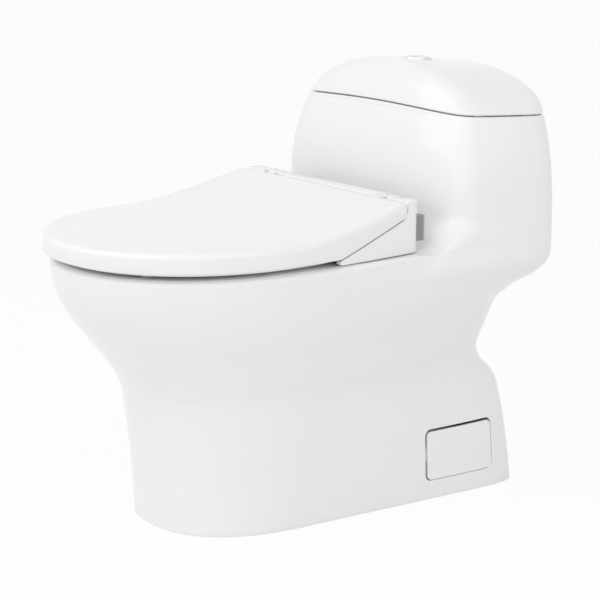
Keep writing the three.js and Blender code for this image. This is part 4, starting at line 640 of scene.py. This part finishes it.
# %% Tank lid
rows = [dome_row(share, 20, 18) for share in [0.99, 0.96, 0.9, *np.linspace(0.8, 0, 9)]]
for by, drop in ((20, 10.5), (19, 12), (15, 12), (14, 10.5), (14, -2.2)):
    rows.append(tank_row(SEAM - 6, by))
    rows[-1][2] = seam_height(*rows[-1][:2]) - drop
number = cut_row(SEAM_GAP)
rows += rounded_edge(row_at(number), 2, 2, IN_TURNS)
# The skin goes on a few rows higher, clear of the edge that was rounded over.
rows += [row_at(mix(number + 3.9, len(tower) - 1, share)) for share in np.linspace(0, 1, 62)]
lid = loft("tank_lid_skin", [as_ring(row) for row in rows], 40)
cut(lid, round_tool("button_hole", 20.6, 0, VALVE, (561, 641)),
    round_tool("button_recess", 24.1, 0, VALVE, (621.6, 641)))
tidy(lid, 40)
print("tank lid:", len(lid.data.polygons), "faces")

# %% [markdown]
# ## Seat lid, seat and hinge base
# The seat lid is moulded plastic, 4 mm thick, with a soft round edge. It lies level over the
# bowl and ramps up to the hinge, and its side is cut on a slant that the hinge base's cheek
# fills. The seat is a ring with round edges inside and out.

# %% Seat lid
LENGTH, LID_HALF, LID_REAR_HALF, LID_BACK, LID_BASE = 697.9, 206.0, 194.0, 267.0, 391.0
LID_FRONT_TOP, LID_RAMP, LID_CROWN, LID_WALL, LID_EDGE = 418.0, 37.0, 10.0, 4, 9.9
LID_REAR_TOP = LID_FRONT_TOP + LID_RAMP
BASE_FRONT, CHEEK_FRONT, CHEEK_NOSE, CHEEK_RISE, CHEEK_GAP = 264.0, 387.5, 388.6, 44.5, 2.8
CHEEK_LENGTH, TURN_UP = CHEEK_FRONT - BASE_FRONT, 11
HINGE_DEPTH, HINGE_HEIGHT, BARREL, PIN_BORE = 252, 447, 8, 3.8


def lid_half(depth):
    run = (RIM_WIDEST - depth) / (RIM_WIDEST - LID_BACK)
    return mix(LID_HALF, LID_REAR_HALF, np.maximum(0, run) ** 2)


def lid_loop(by, back=LID_BACK, corner=4.0):
    """The lid's plan drawn in by an amount: x and depth from the nose round the right side."""
    turn = np.linspace(np.pi / 2, 0, 56)[:-1]
    c, s = np.cos(turn), np.sin(turn)
    reach = (np.abs(c) ** 2.1 + s ** 2.1) ** (-1 / 2.1)
    sides = np.linspace(RIM_WIDEST, back + by + corner, 40)[:-1]
    turn = np.linspace(0, np.pi / 2, 12)
    corner_depth = back + by + corner * (1 - np.sin(turn))
    corner_x = lid_half(corner_depth) - by - corner * (1 - np.cos(turn))
    rest = np.linspace(corner_x[-1], 0, 26)[1:]
    x = np.concatenate([(LID_HALF - by) * c * reach, lid_half(sides) - by, corner_x, rest])
    depth = np.concatenate([RIM_WIDEST + (LENGTH - RIM_WIDEST - by) * s * reach, sides,
                            corner_depth, np.full(len(rest), back + by)])
    return np.concatenate([x, -x[1:-1][::-1]]), np.concatenate([depth, depth[1:-1][::-1]])


def lid_top(x, depth):
    ramp = np.clip((RIM_WIDEST - depth) / (RIM_WIDEST - LID_BACK - 12), 0, 1)
    across = 1 - (x / lid_half(depth)) ** 2
    fade = ease((LENGTH - depth) / (LENGTH - RIM_WIDEST))
    fade = fade * ease((depth - LID_BACK) / (RIM_WIDEST - LID_BACK))
    return LID_FRONT_TOP + LID_RAMP * ramp**1.45 + LID_CROWN * across * fade


def cheek_height(depth):
    """The cheek's top edge climbs straight from its nose and turns up against the base."""
    turn = np.clip((BASE_FRONT + TURN_UP - depth) / TURN_UP, 0, 1)
    return CHEEK_NOSE + CHEEK_RISE * (CHEEK_FRONT - depth) / CHEEK_LENGTH + TURN_UP * turn**2


def lid_low(x, depth):
    low = smooth_max(LID_BASE, cheek_height(depth) + CHEEK_GAP, 1.0)
    across = ease((LID_BACK + 9 - depth) / 6) * ease((182 - np.abs(x)) / 6)
    return mix(low, LID_REAR_TOP - 9, across)


def lid_ring(by, lift, drop=99):
    """A loop at a lift over the lid's lower edge, or at a drop under its top if that is higher."""
    x, depth = lid_loop(by)
    return flat_ring(x, depth, np.maximum(lid_top(x, depth) - drop, lid_low(x, depth) + lift))


def lid_inner_ring(share, drop):
    x, depth = lid_loop(LID_EDGE)
    x, depth = x * share, mix(430, depth, share)
    return flat_ring(x, depth, lid_top(x, depth) - drop)


def hinge_tube(name, side, low, high):
    """A barrel along the hinge line with a round bore and bevelled ends."""
    c, s = circle(48)
    edge = BARREL - 0.8
    profile = ((PIN_BORE, low), (edge, low), (BARREL, low + 0.8), (BARREL, high - 0.8),
               (edge, high), (PIN_BORE, high), (PIN_BORE, low))
    return loft(name, [flat_ring(side * x, HINGE_DEPTH - r * c, HINGE_HEIGHT + r * s)
                       for r, x in profile], ends=False)


def pin_bore(low, high, side):
    """A round bar on the hinge line, used to cut the bore for a hinge pin."""
    section = arc_points((HINGE_DEPTH, HINGE_HEIGHT), PIN_BORE, 0, 348.75, 32)
    return bar_tool("pin_bore", section, low, high, side)


rings = [lid_inner_ring(share, LID_WALL) for share in (0.06, 0.3, 0.6, 0.85)]
rings += [lid_inner_ring(0.97, LID_WALL + 1), lid_ring(LID_WALL, 0.3, 9)]
rings += [lid_ring(*given) for given in ((LID_WALL, 0.2), (3.2, 0), (1, 0), (0.3, 0.3), (0, 1))]
rings += [lid_ring(LID_EDGE * (1 - math.cos(turn)), 1.2, 7.65 * (1 - math.sin(turn)))
          for turn in np.radians(np.linspace(0, 90, 13))]
rings += [lid_inner_ring(share, 0) for share in np.linspace(0.98, 0.02, 40)]
seat_lid = loft("seat_lid_skin", rings, 45)
arm, lugs = [(254, 454.7), (269, 454.7), (269, 450), (254, 450)], []
for side in (1, -1):
    lugs += [hinge_tube("lid_barrel", side, 118.5, 132.5),
             bar_tool("lid_arm", arm, 118.5, 132.5, side)]
join(seat_lid, *lugs)
for side in (1, -1):
    cut(seat_lid, pin_bore(110, 140, side))
tidy(seat_lid, 45)
print("seat lid:", len(seat_lid.data.polygons), "faces")

# %% Seat ring
RING = (198, 198, 688, RIM_WIDEST, 285, 2.1, 2.6)
OPENING = (108, 108, 628, RIM_WIDEST, 345, 2.1, 2.1)


def round_over(radius, z):
    """How far a quarter-round edge goes sideways, and its height, in nine steps."""
    return [(radius * (1 - math.cos(a)), z + radius * math.sin(a))
            for a in np.radians(np.linspace(0, 90, 9))]


outer = [(2.3, 387), (0.7, 387.7), (0, 390)] + round_over(7, 400)
hole = [(1.5, 375), (1.5, 387), (0, 389)] + round_over(9, 398) + [(9, 420)]
seat_ring = loft("seat_ring_skin", [level_ring(RING, by, z, 160) for by, z in outer])
cut(seat_ring, loft("seat_opening", [level_ring(OPENING, -by, z, 120) for by, z in hole]))
arm = [(329.4, 389), (329.4, 402), (285, 402), (278, 410), (272, 435), (267, 443.4),
       (256, 449), (254, 441), (266, 438.6), (266, 402), (278, 389)]
for side in (1, -1):
    join(seat_ring, bar_tool("seat_arm", arm, 134, 148, side),
         hinge_tube("seat_barrel", side, 134, 148))
    cut(seat_ring, pin_bore(133.2, 148.8, side))
tidy(seat_ring, 40)
print("seat ring:", len(seat_ring.data.polygons), "faces")

# %% Hinge base
def plan_prism(name, by, back):
    plan = lid_loop(by, back - by, 16)
    return loft(name, [flat_ring(*plan, z) for z in (370.0, 470.0)])


section = [(242, 383), (239.5, 386)] + arc_points((243.5, 451), 4, 180, 90) \
    + arc_points((261, 452), 3, 90, 0) \
    + [(float(d), float(cheek_height(d))) for d in (*np.linspace(264, 276, 13), 330, 386)] \
    + arc_points((386.1, 385.8), 2.8, 70, -90, 7)
base = bar_tool("seat_hinge_base_skin", section, -218, 218)
shape_with("INTERSECT", base, [plan_prism("base_plan", 2.5, 239.2)])
cut(base, plan_prism("between", 12, BASE_FRONT),
    box_tool("inside", (-109.5, 109.5), (242.5, 261), (371, 452)),
    *box_pair((117.5, 149), (242.5, 267), (438, 470)),
    *box_pair((172.2, 184.8), (236, 243.8), (396.7, 432.3)))
for side in (1, -1):
    cut(base, pin_bore(112.2, 154.3, side))
soften(base, 1.2, 40)
print("hinge base:", len(base.data.polygons), "faces")

# %% [markdown]
# ## Side covers
# A plastic plate closes the opening over each floor bolt. It follows the china's skin, set back
# a little. The opening sits a little higher and further forward, so the gap is wide and dark at
# the top and the front and thin at the bottom and the rear.

# %% Side covers
covers = {}
heights = [(z, z) for z in np.linspace(10, 120, 30)]
for name, side in SIDES:
    cover = loft("side_cover_%s_skin" % name, level_rings(heights, 0.6, 600))
    cut(cover, loft("core", level_rings([(0, 0)] + heights + [(130, 120)], 4.6, 600)))
    shape_with("INTERSECT", cover, [cover_tool(side, 2.6)])
    soften(cover, 0.8, 35)
    covers["side_cover_" + name] = cover
print("covers:", len(cover.data.polygons), "faces each")

# %% [markdown]
# ## The push button
# The bezel and the two buttons are turned and pressed metal, chromed. Their edges are rounded,
# because a chromed edge that is dead sharp doesn't exist and would show no highlight.

# %% Push button
BUTTON_SEAT, BUTTON_TOP, BUTTON_RADIUS, ROD_X, ROD_BORE = 621.9, 626.1, 17.5, 10, 4.6
bezel = turned("button_bezel_skin", 0, VALVE, [
    (20, BUTTON_SEAT - 24), (20, BUTTON_SEAT), (23.4, BUTTON_SEAT),
    *arc_points((21.3, BUTTON_SEAT + 0.6), 2.1, 0, 90, 8),
    *arc_points((19.3, BUTTON_SEAT + 1.5), 1.2, 90, 180, 6), (18.1, BUTTON_SEAT - 24)], True, 96)
join(bezel, round_tool("bezel_floor", 20, 0, VALVE, (BUTTON_SEAT - 27, BUTTON_SEAT - 23.8)))
for side in (1, -1):
    cut(bezel, round_tool("rod_hole", ROD_BORE, side * ROD_X, VALVE, (580, 610), 32))
tidy(bezel, 30)


def button(name, side):
    """One part of the split disc, with its rim and its straight edge rounded over."""
    edge = -4 + side * 0.6
    bend = math.acos(edge / BUTTON_RADIUS)
    turn = np.linspace(-bend, bend, 60) if side > 0 else np.linspace(bend, 2 * np.pi - bend, 60)
    arc = np.stack([BUTTON_RADIUS * np.cos(turn), BUTTON_RADIUS * np.sin(turn)], axis=-1)
    chord = arc[-1] + (arc[0] - arc[-1]) * np.linspace(0, 1, 22)[1:-1, None]
    plan = np.vstack([arc, chord])
    middle = np.array([side * 7.0 + edge * 0.2, 0])
    away = plan - middle
    unit = away / np.linalg.norm(away, axis=1)[:, None]
    loops = [(plan - unit * by, drop)
             for by, drop in ((0, 8), (0, 1.4), (0.2, 0.7), (0.7, 0.2), (1.5, 0))]
    loops += [(middle + away * share, drop)
              for share, drop in ((0.8, 0.12), (0.5, 0.35), (0.2, 0.5))]
    return loft(name, [flat_ring(loop[:, 0], VALVE - loop[:, 1], BUTTON_TOP - drop)
                       for loop, drop in loops], 30)


buttons = {name: button(name + "_skin", side)
           for name, side in (("full_flush_button", 1), ("half_flush_button", -1))}
print("button:", len(bezel.data.polygons), "faces in the bezel")

# %% [markdown]
# ## Finishes
# Every finish is worked out from what the real thing is. One function turns a written colour
# into the linear values that a shader wants, and one adds a node. Patterns read Object
# coordinates, which are metres here, so a scale of 100 repeats every 10 mm.

# %% Material helpers
def linear(code):
    """An sRGB hex colour as linear red, green, blue and alpha."""
    parts = [int(code[i:i + 2], 16) / 255 for i in (1, 3, 5)]
    return [c / 12.92 if c <= 0.04045 else ((c + 0.055) / 1.055) ** 2.4 for c in parts] + [1]


def add(tree, kind, inputs=(), **settings):
    """Adds a node. An input is a value, a node with one output, or a node and its output."""
    made = tree.nodes.new(kind)
    for key, value in settings.items():
        setattr(made, key, value)
    for key, given in dict(inputs).items():
        source = given if isinstance(given, tuple) else (given, 0)
        if isinstance(source[0], bpy.types.Node):
            tree.links.new(source[0].outputs[source[1]], made.inputs[key])
        else:
            made.inputs[key].default_value = given
    return made


def empty_tree(holder):
    """The cleared node tree of a material or a world."""
    holder.use_nodes = True
    holder.node_tree.nodes.clear()
    return holder.node_tree


def shades_by(tree, noise, shades):
    """A mix of two hex colours that follows a noise."""
    blend = add(tree, "ShaderNodeMix", {"Factor": noise}, data_type="RGBA")
    blend.inputs["A"].default_value, blend.inputs["B"].default_value = map(linear, shades)
    return blend


def finish(name, shades, roughness, grain, dent, shader):
    """A finish with two close shades, uneven gloss and a fine bump.

    shades is a pair of hex colours, roughness a pair of limits, grain a pair of sizes in mm for
    the slow shade and the fine bump, and dent the bump's height in mm."""
    material = bpy.data.materials.new(name)
    tree = empty_tree(material)
    place = add(tree, "ShaderNodeTexCoord")
    slow, fine = [add(tree, "ShaderNodeTexNoise", {
        "Vector": (place, "Object"), "Scale": 1000 / size, "Detail": detail})
        for size, detail in zip(grain, (3, 2))]
    gloss = add(tree, "ShaderNodeMapRange", {
        "Value": slow, "To Min": roughness[0], "To Max": roughness[1]})
    bump = add(tree, "ShaderNodeBump", {"Height": fine, "Strength": 1, "Distance": dent * MM})
    surface = add(tree, "ShaderNodeBsdfPrincipled", {
        **shader, "Base Color": (shades_by(tree, slow, shades), "Result"), "Roughness": gloss,
        "Normal": bump})
    add(tree, "ShaderNodeOutputMaterial", {"Surface": surface})
    return material


# %% [markdown]
# Vitreous china is white clay fired with a glass glaze. The glaze pools a little, so the gloss
# has a very slow waviness, and its white is faintly uneven. The plastics are moulded: urea for
# the seat, which is nearly as glossy as the china, and duller ABS and acetal for the valves.

# %% Materials
FINISHES = {
    "vitreous_china": ("glazed_vitreous_china", ("#F3F3F3", "#F0F0F0"), (0.12, 0.2), (140, 24),
                       0.05, {"IOR": 1.5, "Coat Weight": 0.2, "Coat Roughness": 0.06}),
    "seat_plastic": ("moulded_urea_seat_plastic", ("#F4F4F4", "#F1F1F1"), (0.18, 0.26), (90, 3),
                     0.01, {"IOR": 1.5}),
    "white_plastic": ("moulded_abs_white", ("#E8E9E8", "#DFE0DE"), (0.36, 0.5), (25, 1.2),
                      0.03, {"IOR": 1.53}),
    "grey_plastic": ("moulded_acetal_grey", ("#8F9498", "#83888C"), (0.4, 0.55), (20, 1.0),
                     0.03, {"IOR": 1.48}),
    "blue_plastic": ("moulded_abs_blue", ("#5284AE", "#4A789F"), (0.36, 0.5), (22, 1.2),
                     0.03, {"IOR": 1.53}),
    "black_rubber": ("epdm_rubber_black", ("#2C2C2C", "#242424"), (0.7, 0.9), (8, 0.7),
                     0.06, {"IOR": 1.52}),
    # The rear buffers' grey is partly the rubber's own colour and partly painted shade. It is set
    # dark to stand in for the shadowed slit between the hinge base and the tank.
    "grey_rubber": ("epdm_rubber_grey_with_painted_shade", ("#A6A6A5", "#9C9C9B"), (0.6, 0.8), (8, 0.7),
                    0.06, {"IOR": 1.52}),
    "clear_rubber": ("clear_silicone_pad", ("#DADAD4", "#D0D0CA"), (0.45, 0.6), (6, 0.8),
                     0.03, {"IOR": 1.41, "Transmission Weight": 0.35}),
    "chrome": ("chrome_plated_brass", ("#DCDEE0", "#D6D8DA"), (0.05, 0.11), (30, 6),
               0.004, {"Metallic": 1.0}),
    "steel": ("zinc_plated_steel", ("#B9BBBD", "#A9ABAD"), (0.28, 0.42), (6, 0.6),
              0.02, {"Metallic": 1.0}),
}
by_slot = {slot: finish(*given) for slot, given in FINISHES.items()}
print("finishes:", len(by_slot))

# %% [markdown]
# ## Turned pieces
# The valves, bolts, seals and rods are round about an upright axis. Each is a list of radius and
# height points turned about its axis. A list that starts with a bore is closed on itself, and
# any other is closed across the axis. Threaded pieces have a thinner core, which gets its
# thread in a later cell.

# %% Turned pieces
def washer(low, high, outer, inner, round_by=0.3):
    """The points of a flat ring with its outer edges rounded off."""
    return [(inner, low), (outer - round_by, low), (outer, low + round_by),
            (outer, high - round_by), (outer - round_by, high), (inner, high)]


THREAD_CORE, THREAD_OUTER, THREAD_PITCH = 3.4, 4, 1.25


def bolt(tip, seat):
    """The points of a domed bolt, with a core under its head for the thread."""
    return [(THREAD_CORE - 0.8, tip), (THREAD_CORE, tip + 0.8), (THREAD_CORE, seat - 3),
            (THREAD_OUTER, seat - 2.4), (THREAD_OUTER, seat), (7, seat), (7.2, seat + 0.2),
            (7.2, seat + 2.6), (6.8, seat + 3.7), (5.4, seat + 4.5), (3, seat + 4.8)]


canister = [(20.5, 346.2), (28.4, 346.2), (29, 346.8), (29, 350.2), (24, 354.2), (23.4, 360),
            (23.4, 474), (24, 478), (24, 480.2), (23.2, 481), (21.3, 481), (20.5, 480.2)]
head = [(24, 512), (25.8, 512), (25.8, 491), (44.4, 491), (45, 491.6), (45, 511), (43.8, 513.6),
        (41, 515), (30, 515)]
shank = [(6, 301.4), (8.6, 301.4), (9.2, 302), (9.2, 336.4), (10, 337), (10, 337.6),
         (16.6, 337.6), (17, 338), (17, 342.2), (16.6, 342.6), (6, 342.6)]
fill_float = [(12.6, 439), (22, 439), (23.4, 439.6), (24, 441), (24, 493), (23.4, 494.4),
              (22, 495), (12.6, 495)]
cap = [(15, 521.3), (16.6, 521.3), (17, 521.7), (17, 525.3), (14.06, 541.3), (13.2, 542.8),
       (11, 543.3), (8, 543.3)]
base_ring = [(21, 317.5), (28.6, 317.5), (29.5, 318.4), (29.5, 337.6), (44.4, 337.6),
             (45, 338.2), (45, 343), (44.4, 343.6), (21, 343.6)]
rod = [(3.4, 511), (4, 511.6), (4, 617.2), (3.4, 617.8)]
pad = [(6.4, 381.3), (7, 381.9), (7, 385.6), (5.9, 386.7)]
fill_place = (FILL_X, FILL_DEPTH)
pieces = {
    "flush_valve_base": (0, VALVE, base_ring, True),
    "flush_valve_gasket": (0, VALVE, washer(335.3, 337.3, 43, 30.1), True),
    "flush_canister_seal": (0, VALVE, washer(343.9, 345.9, 28, 20), True),
    "flush_canister": (0, VALVE, canister, True),
    "flush_valve_head": (0, VALVE, head),
    "full_flush_rod": (ROD_X, VALVE, rod),
    "half_flush_rod": (-ROD_X, VALVE, rod),
    "fill_valve_gasket": (*fill_place, washer(335.3, 337.3, 16, 10.3), True),
    "fill_valve_shank": (*fill_place, shank, True),
    "fill_valve_tower": (*fill_place, washer(342.9, 521, 12, 6, 0.8), True),
    "fill_valve_float": (*fill_place, fill_float, True),
    "fill_valve_cap": (*fill_place, cap),
    "outlet_seal": (0, OUTLET, washer(1, 23, 52.3, 38.3, 4), True),
}
for name, side in SIDES:
    seat_bolt = (side * SEAT_BOLT_X, SEAT_BOLT_DEPTH)
    floor_bolt = (side * FLOOR_BOLT_X, FLOOR_BOLT_DEPTH)
    pieces["seat_bolt_" + name] = (*seat_bolt, bolt(335.6, 383))
    pieces["seat_bolt_bush_" + name] = (*seat_bolt, washer(351, 380, 7.4, 4.3, 0.8), True)
    pieces["floor_bolt_" + name] = (*floor_bolt, bolt(1, 18.6))
    pieces["floor_bolt_washer_" + name] = (*floor_bolt, washer(16.3, 18.3, 11, 4.3), True)
    pieces["seat_pad_front_" + name] = (side * 101, 632.5, pad)
    pieces["seat_pad_side_" + name] = (side * 157.6, 493, pad)
made = {name: turned(name + "_skin", *given) for name, given in pieces.items()}
for turn in np.radians([90, 210, 330]):
    join(made["flush_valve_base"], round_tool(
        "post", 4, 40 * math.cos(turn), VALVE - 40 * math.sin(turn), (342, 490.7), 40))
for side in (1, -1):
    cut(made["flush_valve_head"],
        round_tool("rod_bore", ROD_BORE, side * ROD_X, VALVE, (500, 530), 40))
    ear = sorted((FILL_DEPTH + side * 3.6, FILL_DEPTH + side * 6))
    join(made["fill_valve_cap"], box_tool("ear", (-128, -122), ear, (538.3, 556.3)))
cut(made["fill_valve_cap"], box_tool("pin_gap", (-126.8, -123.2), (38, 54), (550, 553.6)))
join(made["fill_valve_float"], round_tool("post", 2, FILL_X + 20, FILL_DEPTH, (490, 549), 32))
BOLTS = (("seat_bolt_", SEAT_BOLT_X, SEAT_BOLT_DEPTH, 387.8, 337, 33),
         ("floor_bolt_", FLOOR_BOLT_X, FLOOR_BOLT_DEPTH, 23.4, 2.4, 10))
for name, side in SIDES:
    for kind, x, depth, top, *_ in BOLTS:
        x = side * x
        cut(made[kind + name], box_tool(
            "slot", (x - 0.6, x + 0.6), (depth - 9, depth + 9), (top - 1.6, top + 3)))
for piece in made.values():
    tidy(piece, 40)
print("turned pieces:", len(made))

# %% [markdown]
# ## Threads and ribs
# A thread, the ribs of the lifting canister and the ribs of the two buffers behind the hinge
# base all repeat at an even step. One node tree makes them all: it sets copies of a rib along a
# line, turns each by its number times an angle, and joins them to the body.

# %% Rib tree
ribs = bpy.data.node_groups.new("ribs", "GeometryNodeTree")
for socket, kind in (("Body", "Geometry"), ("Rib", "Object"), ("Count", "Int"),
                     ("Start", "Vector"), ("Step", "Vector"), ("Turn", "Float"),
                     ("Finish", "Material")):
    ribs.interface.new_socket(socket, in_out="INPUT", socket_type="NodeSocket" + kind)
ribs.interface.new_socket("Geometry", in_out="OUTPUT", socket_type="NodeSocketGeometry")
given = add(ribs, "NodeGroupInput")
rib = add(ribs, "GeometryNodeObjectInfo", {"Object": (given, "Rib")})
line = add(ribs, "GeometryNodeMeshLine", {
    "Count": (given, "Count"), "Start Location": (given, "Start"), "Offset": (given, "Step")})
number = add(ribs, "GeometryNodeInputIndex")
angle = add(ribs, "ShaderNodeMath", {0: number, 1: (given, "Turn")}, operation="MULTIPLY")
turning = add(ribs, "ShaderNodeCombineXYZ", {"Z": angle})
copies = add(ribs, "GeometryNodeInstanceOnPoints", {
    "Points": line, "Instance": (rib, "Geometry"), "Rotation": turning})
joined = add(ribs, "GeometryNodeJoinGeometry", {"Geometry": (given, "Body")})
ribs.links.new(copies.outputs["Instances"], joined.inputs["Geometry"])
real = add(ribs, "GeometryNodeRealizeInstances", {"Geometry": joined})
painted = add(ribs, "GeometryNodeSetMaterial", {"Geometry": real, "Material": (given, "Finish")})
add(ribs, "NodeGroupOutput", {"Geometry": painted})


def ribbed(body, rib, count, start, step, turn, slot):
    """Sets copies of a rib on a body, given in mm and degrees, and keeps a plain mesh."""
    grow = body.modifiers.new("ribs", "NODES")
    grow.node_group = ribs
    values = {"Rib": rib, "Count": count, "Start": [v * MM for v in start],
              "Step": [v * MM for v in step], "Turn": math.radians(turn),
              "Finish": by_slot[slot]}
    for socket in ribs.interface.items_tree:
        if socket.name in values:
            grow[socket.identifier] = values[socket.name]
    keep_plain(body)
    bpy.data.objects.remove(rib)
    tidy(body, 40)


def thread_rib(core, outer, pitch):
    """One ridge of a thread about the upright axis through the origin."""
    shape = [(core - 0.2, -0.42), (outer, -0.08), (outer, 0.08), (core - 0.2, 0.42)]
    return turned("thread_rib", 0, WALL, [(r, z * pitch) for r, z in shape], True, 48)


# %% Threads and ribs
for name, side in SIDES:
    for kind, x, depth, _, start, count in BOLTS:
        ribbed(made[kind + name], thread_rib(THREAD_CORE, THREAD_OUTER, THREAD_PITCH), count,
               (side * x, WALL - depth, start), (0, 0, THREAD_PITCH), 0, "steel")
ribbed(made["fill_valve_shank"], thread_rib(9.2, 10, 1.8), 18, (FILL_X, WALL - FILL_DEPTH, 303),
       (0, 0, 1.8), 0, "white_plastic")
ribbed(made["flush_canister"], block("rib", (23, 24), (-0.7, 0.7), (0, 106)), 24,
       (0, WALL - VALVE, 364), (0, 0, 0), 15, "blue_plastic")
# The two rear buffers are grey rubber, but their grey also stands in for the shade in the slit
# between the hinge base and the tank, so it is partly painted shade.
for name, side in SIDES:
    x = side * 178.45
    core = block("seat_rear_buffer_%s_skin" % name, (x - 4.8, x + 4.8),
                 (WALL - 243.5, WALL - 231.2), (397.4, 431.6))
    ribbed(core, block("rib", (-6, 6), (-3.9, 9.8), (-0.7, 0.7)), 12, (x, WALL - 239.6, 397.8),
           (0, 0, 3.12), 0, "grey_rubber")
    made["seat_rear_buffer_" + name] = core
print("threads and ribs are on", sum(len(p.data.polygons) for p in made.values()), "faces in all")

# %% [markdown]
# ## Dress the frame
# Each CAD node keeps its shape and gets the finish of its slot. The finer skins replace the
# nodes they stand for, and ride on the same bodies.

# %% Assign
slot_of = {part["node"]: part["material_slot"] for part in frame["record"]["subparts"]}
body_of = {node: body for body, held in frame["record"]["behaviour"]["bodies"].items()
           for node in held}
skins = {"china_body": china, "tank_lid": lid, "seat_lid": seat_lid, "seat_ring": seat_ring,
         "seat_hinge_base": base, **covers, "button_bezel": bezel, **buttons, **made}


def paint(target, slot):
    target.data.materials.clear()
    target.data.materials.append(by_slot[slot])


for node, held in frame["nodes"].items():
    paint(held, slot_of[node])
for node, piece in skins.items():
    paint(piece, slot_of[node])
    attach(piece, body_of[node])
    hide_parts(node)
print("skins:", len(skins))

# %% [markdown]
# ## Floor and light
# The photograph is a bright cut-out on white. A wide flat sheet of paper lies under the toilet.
# The paper and the room are white to the camera and in reflections, and pale to all other light,
# so the shadow under the foot stays and no side of the toilet hides behind a wall. The lamps are
# large and soft, and are set so that a white surface stays just under white.

# %% Stage
WHITE = (1, 1, 1, 1)


def seen_directly(tree):
    """A value of 1 for light that goes to the camera, straight or by way of gloss or glass."""
    path = add(tree, "ShaderNodeLightPath")
    seen = add(tree, "ShaderNodeMath", {0: (path, "Is Camera Ray"), 1: (path, "Is Glossy Ray")},
               operation="MAXIMUM")
    return add(tree, "ShaderNodeMath", {0: seen, 1: (path, "Is Transmission Ray")},
               operation="MAXIMUM")


FLOOR_REACH, FLOOR_DROP = 14.0, 0.0005
mesh = bpy.data.meshes.new("studio_sheet")
mesh.from_pydata([(x * FLOOR_REACH, y * FLOOR_REACH, -FLOOR_DROP)
                  for x, y in ((-1, -1), (1, -1), (1, 1), (-1, 1))], [], [(0, 1, 2, 3)])
sheet = new_object("studio_sheet", mesh)
paper = bpy.data.materials.new("studio_paper")
tree = empty_tree(paper)
place = add(tree, "ShaderNodeTexCoord")
fibre = add(tree, "ShaderNodeTexNoise", {"Vector": (place, "Object"), "Scale": 600, "Detail": 2})
tint = shades_by(tree, fibre, ("#F7F7F7", "#F3F3F3"))
matt = add(tree, "ShaderNodeBsdfDiffuse", {"Color": (tint, "Result")})
white = add(tree, "ShaderNodeEmission", {"Color": WHITE, "Strength": 1.0})
seen_white = add(tree, "ShaderNodeMixShader", {0: 0.92, 1: matt, 2: white})
# Inside the foot the paper keeps its shade, so the pedestal is dark behind an open cover.
axes = add(tree, "ShaderNodeSeparateXYZ", {"Vector": (place, "Object")})
inside_x, inside_y = [
    add(tree, "ShaderNodeMath", {0: (axes, axis), 1: middle, 2: reach}, operation="COMPARE")
    for axis, middle, reach in (("X", 0.0, 0.11), ("Y", 0.11, 0.21))]
inside = add(tree, "ShaderNodeMath", {0: inside_x, 1: inside_y}, operation="MULTIPLY")
outside = add(tree, "ShaderNodeMath", {0: 1.0, 1: inside}, operation="SUBTRACT")
shown = add(tree, "ShaderNodeMath", {0: seen_directly(tree), 1: outside}, operation="MULTIPLY")
both = add(tree, "ShaderNodeMixShader", {0: shown, 1: matt, 2: seen_white})
add(tree, "ShaderNodeOutputMaterial", {"Surface": both})
sheet.data.materials.append(paper)

# %% Room and lamps
world = bpy.data.worlds.new("soft_room")
bpy.context.scene.world = world
tree = empty_tree(world)
soft, bright = [add(tree, "ShaderNodeBackground", {"Color": WHITE, "Strength": strength})
                for strength in (0.56, 1.0)]
both = add(tree, "ShaderNodeMixShader", {0: seen_directly(tree), 1: soft, 2: bright})
add(tree, "ShaderNodeOutputWorld", {"Surface": both})
AIM = Vector((0, 0, 0.3))


def soft_lamp(name, place, size, power):
    """A square area lamp that looks at the toilet's middle."""
    lamp = new_object(name, bpy.data.lights.new(name, "AREA"))
    lamp.data.shape, lamp.data.size, lamp.data.energy = "SQUARE", size, power
    lamp.location = place
    lamp.rotation_euler = (AIM - Vector(place)).to_track_quat("-Z", "Y").to_euler()


soft_lamp("key_front_right", (2.1, -2.6, 2.1), 4.0, 24)
soft_lamp("high_front", (-0.6, -2.2, 2.8), 4.0, 40)
soft_lamp("high_side", (2.6, 0.2, 2.2), 3.5, 22)
soft_lamp("fill_front_left", (-2.4, -2.2, 1.3), 4.0, 8)
bpy.context.scene.view_settings.view_transform = "Standard"
print("stage and lamps are set")
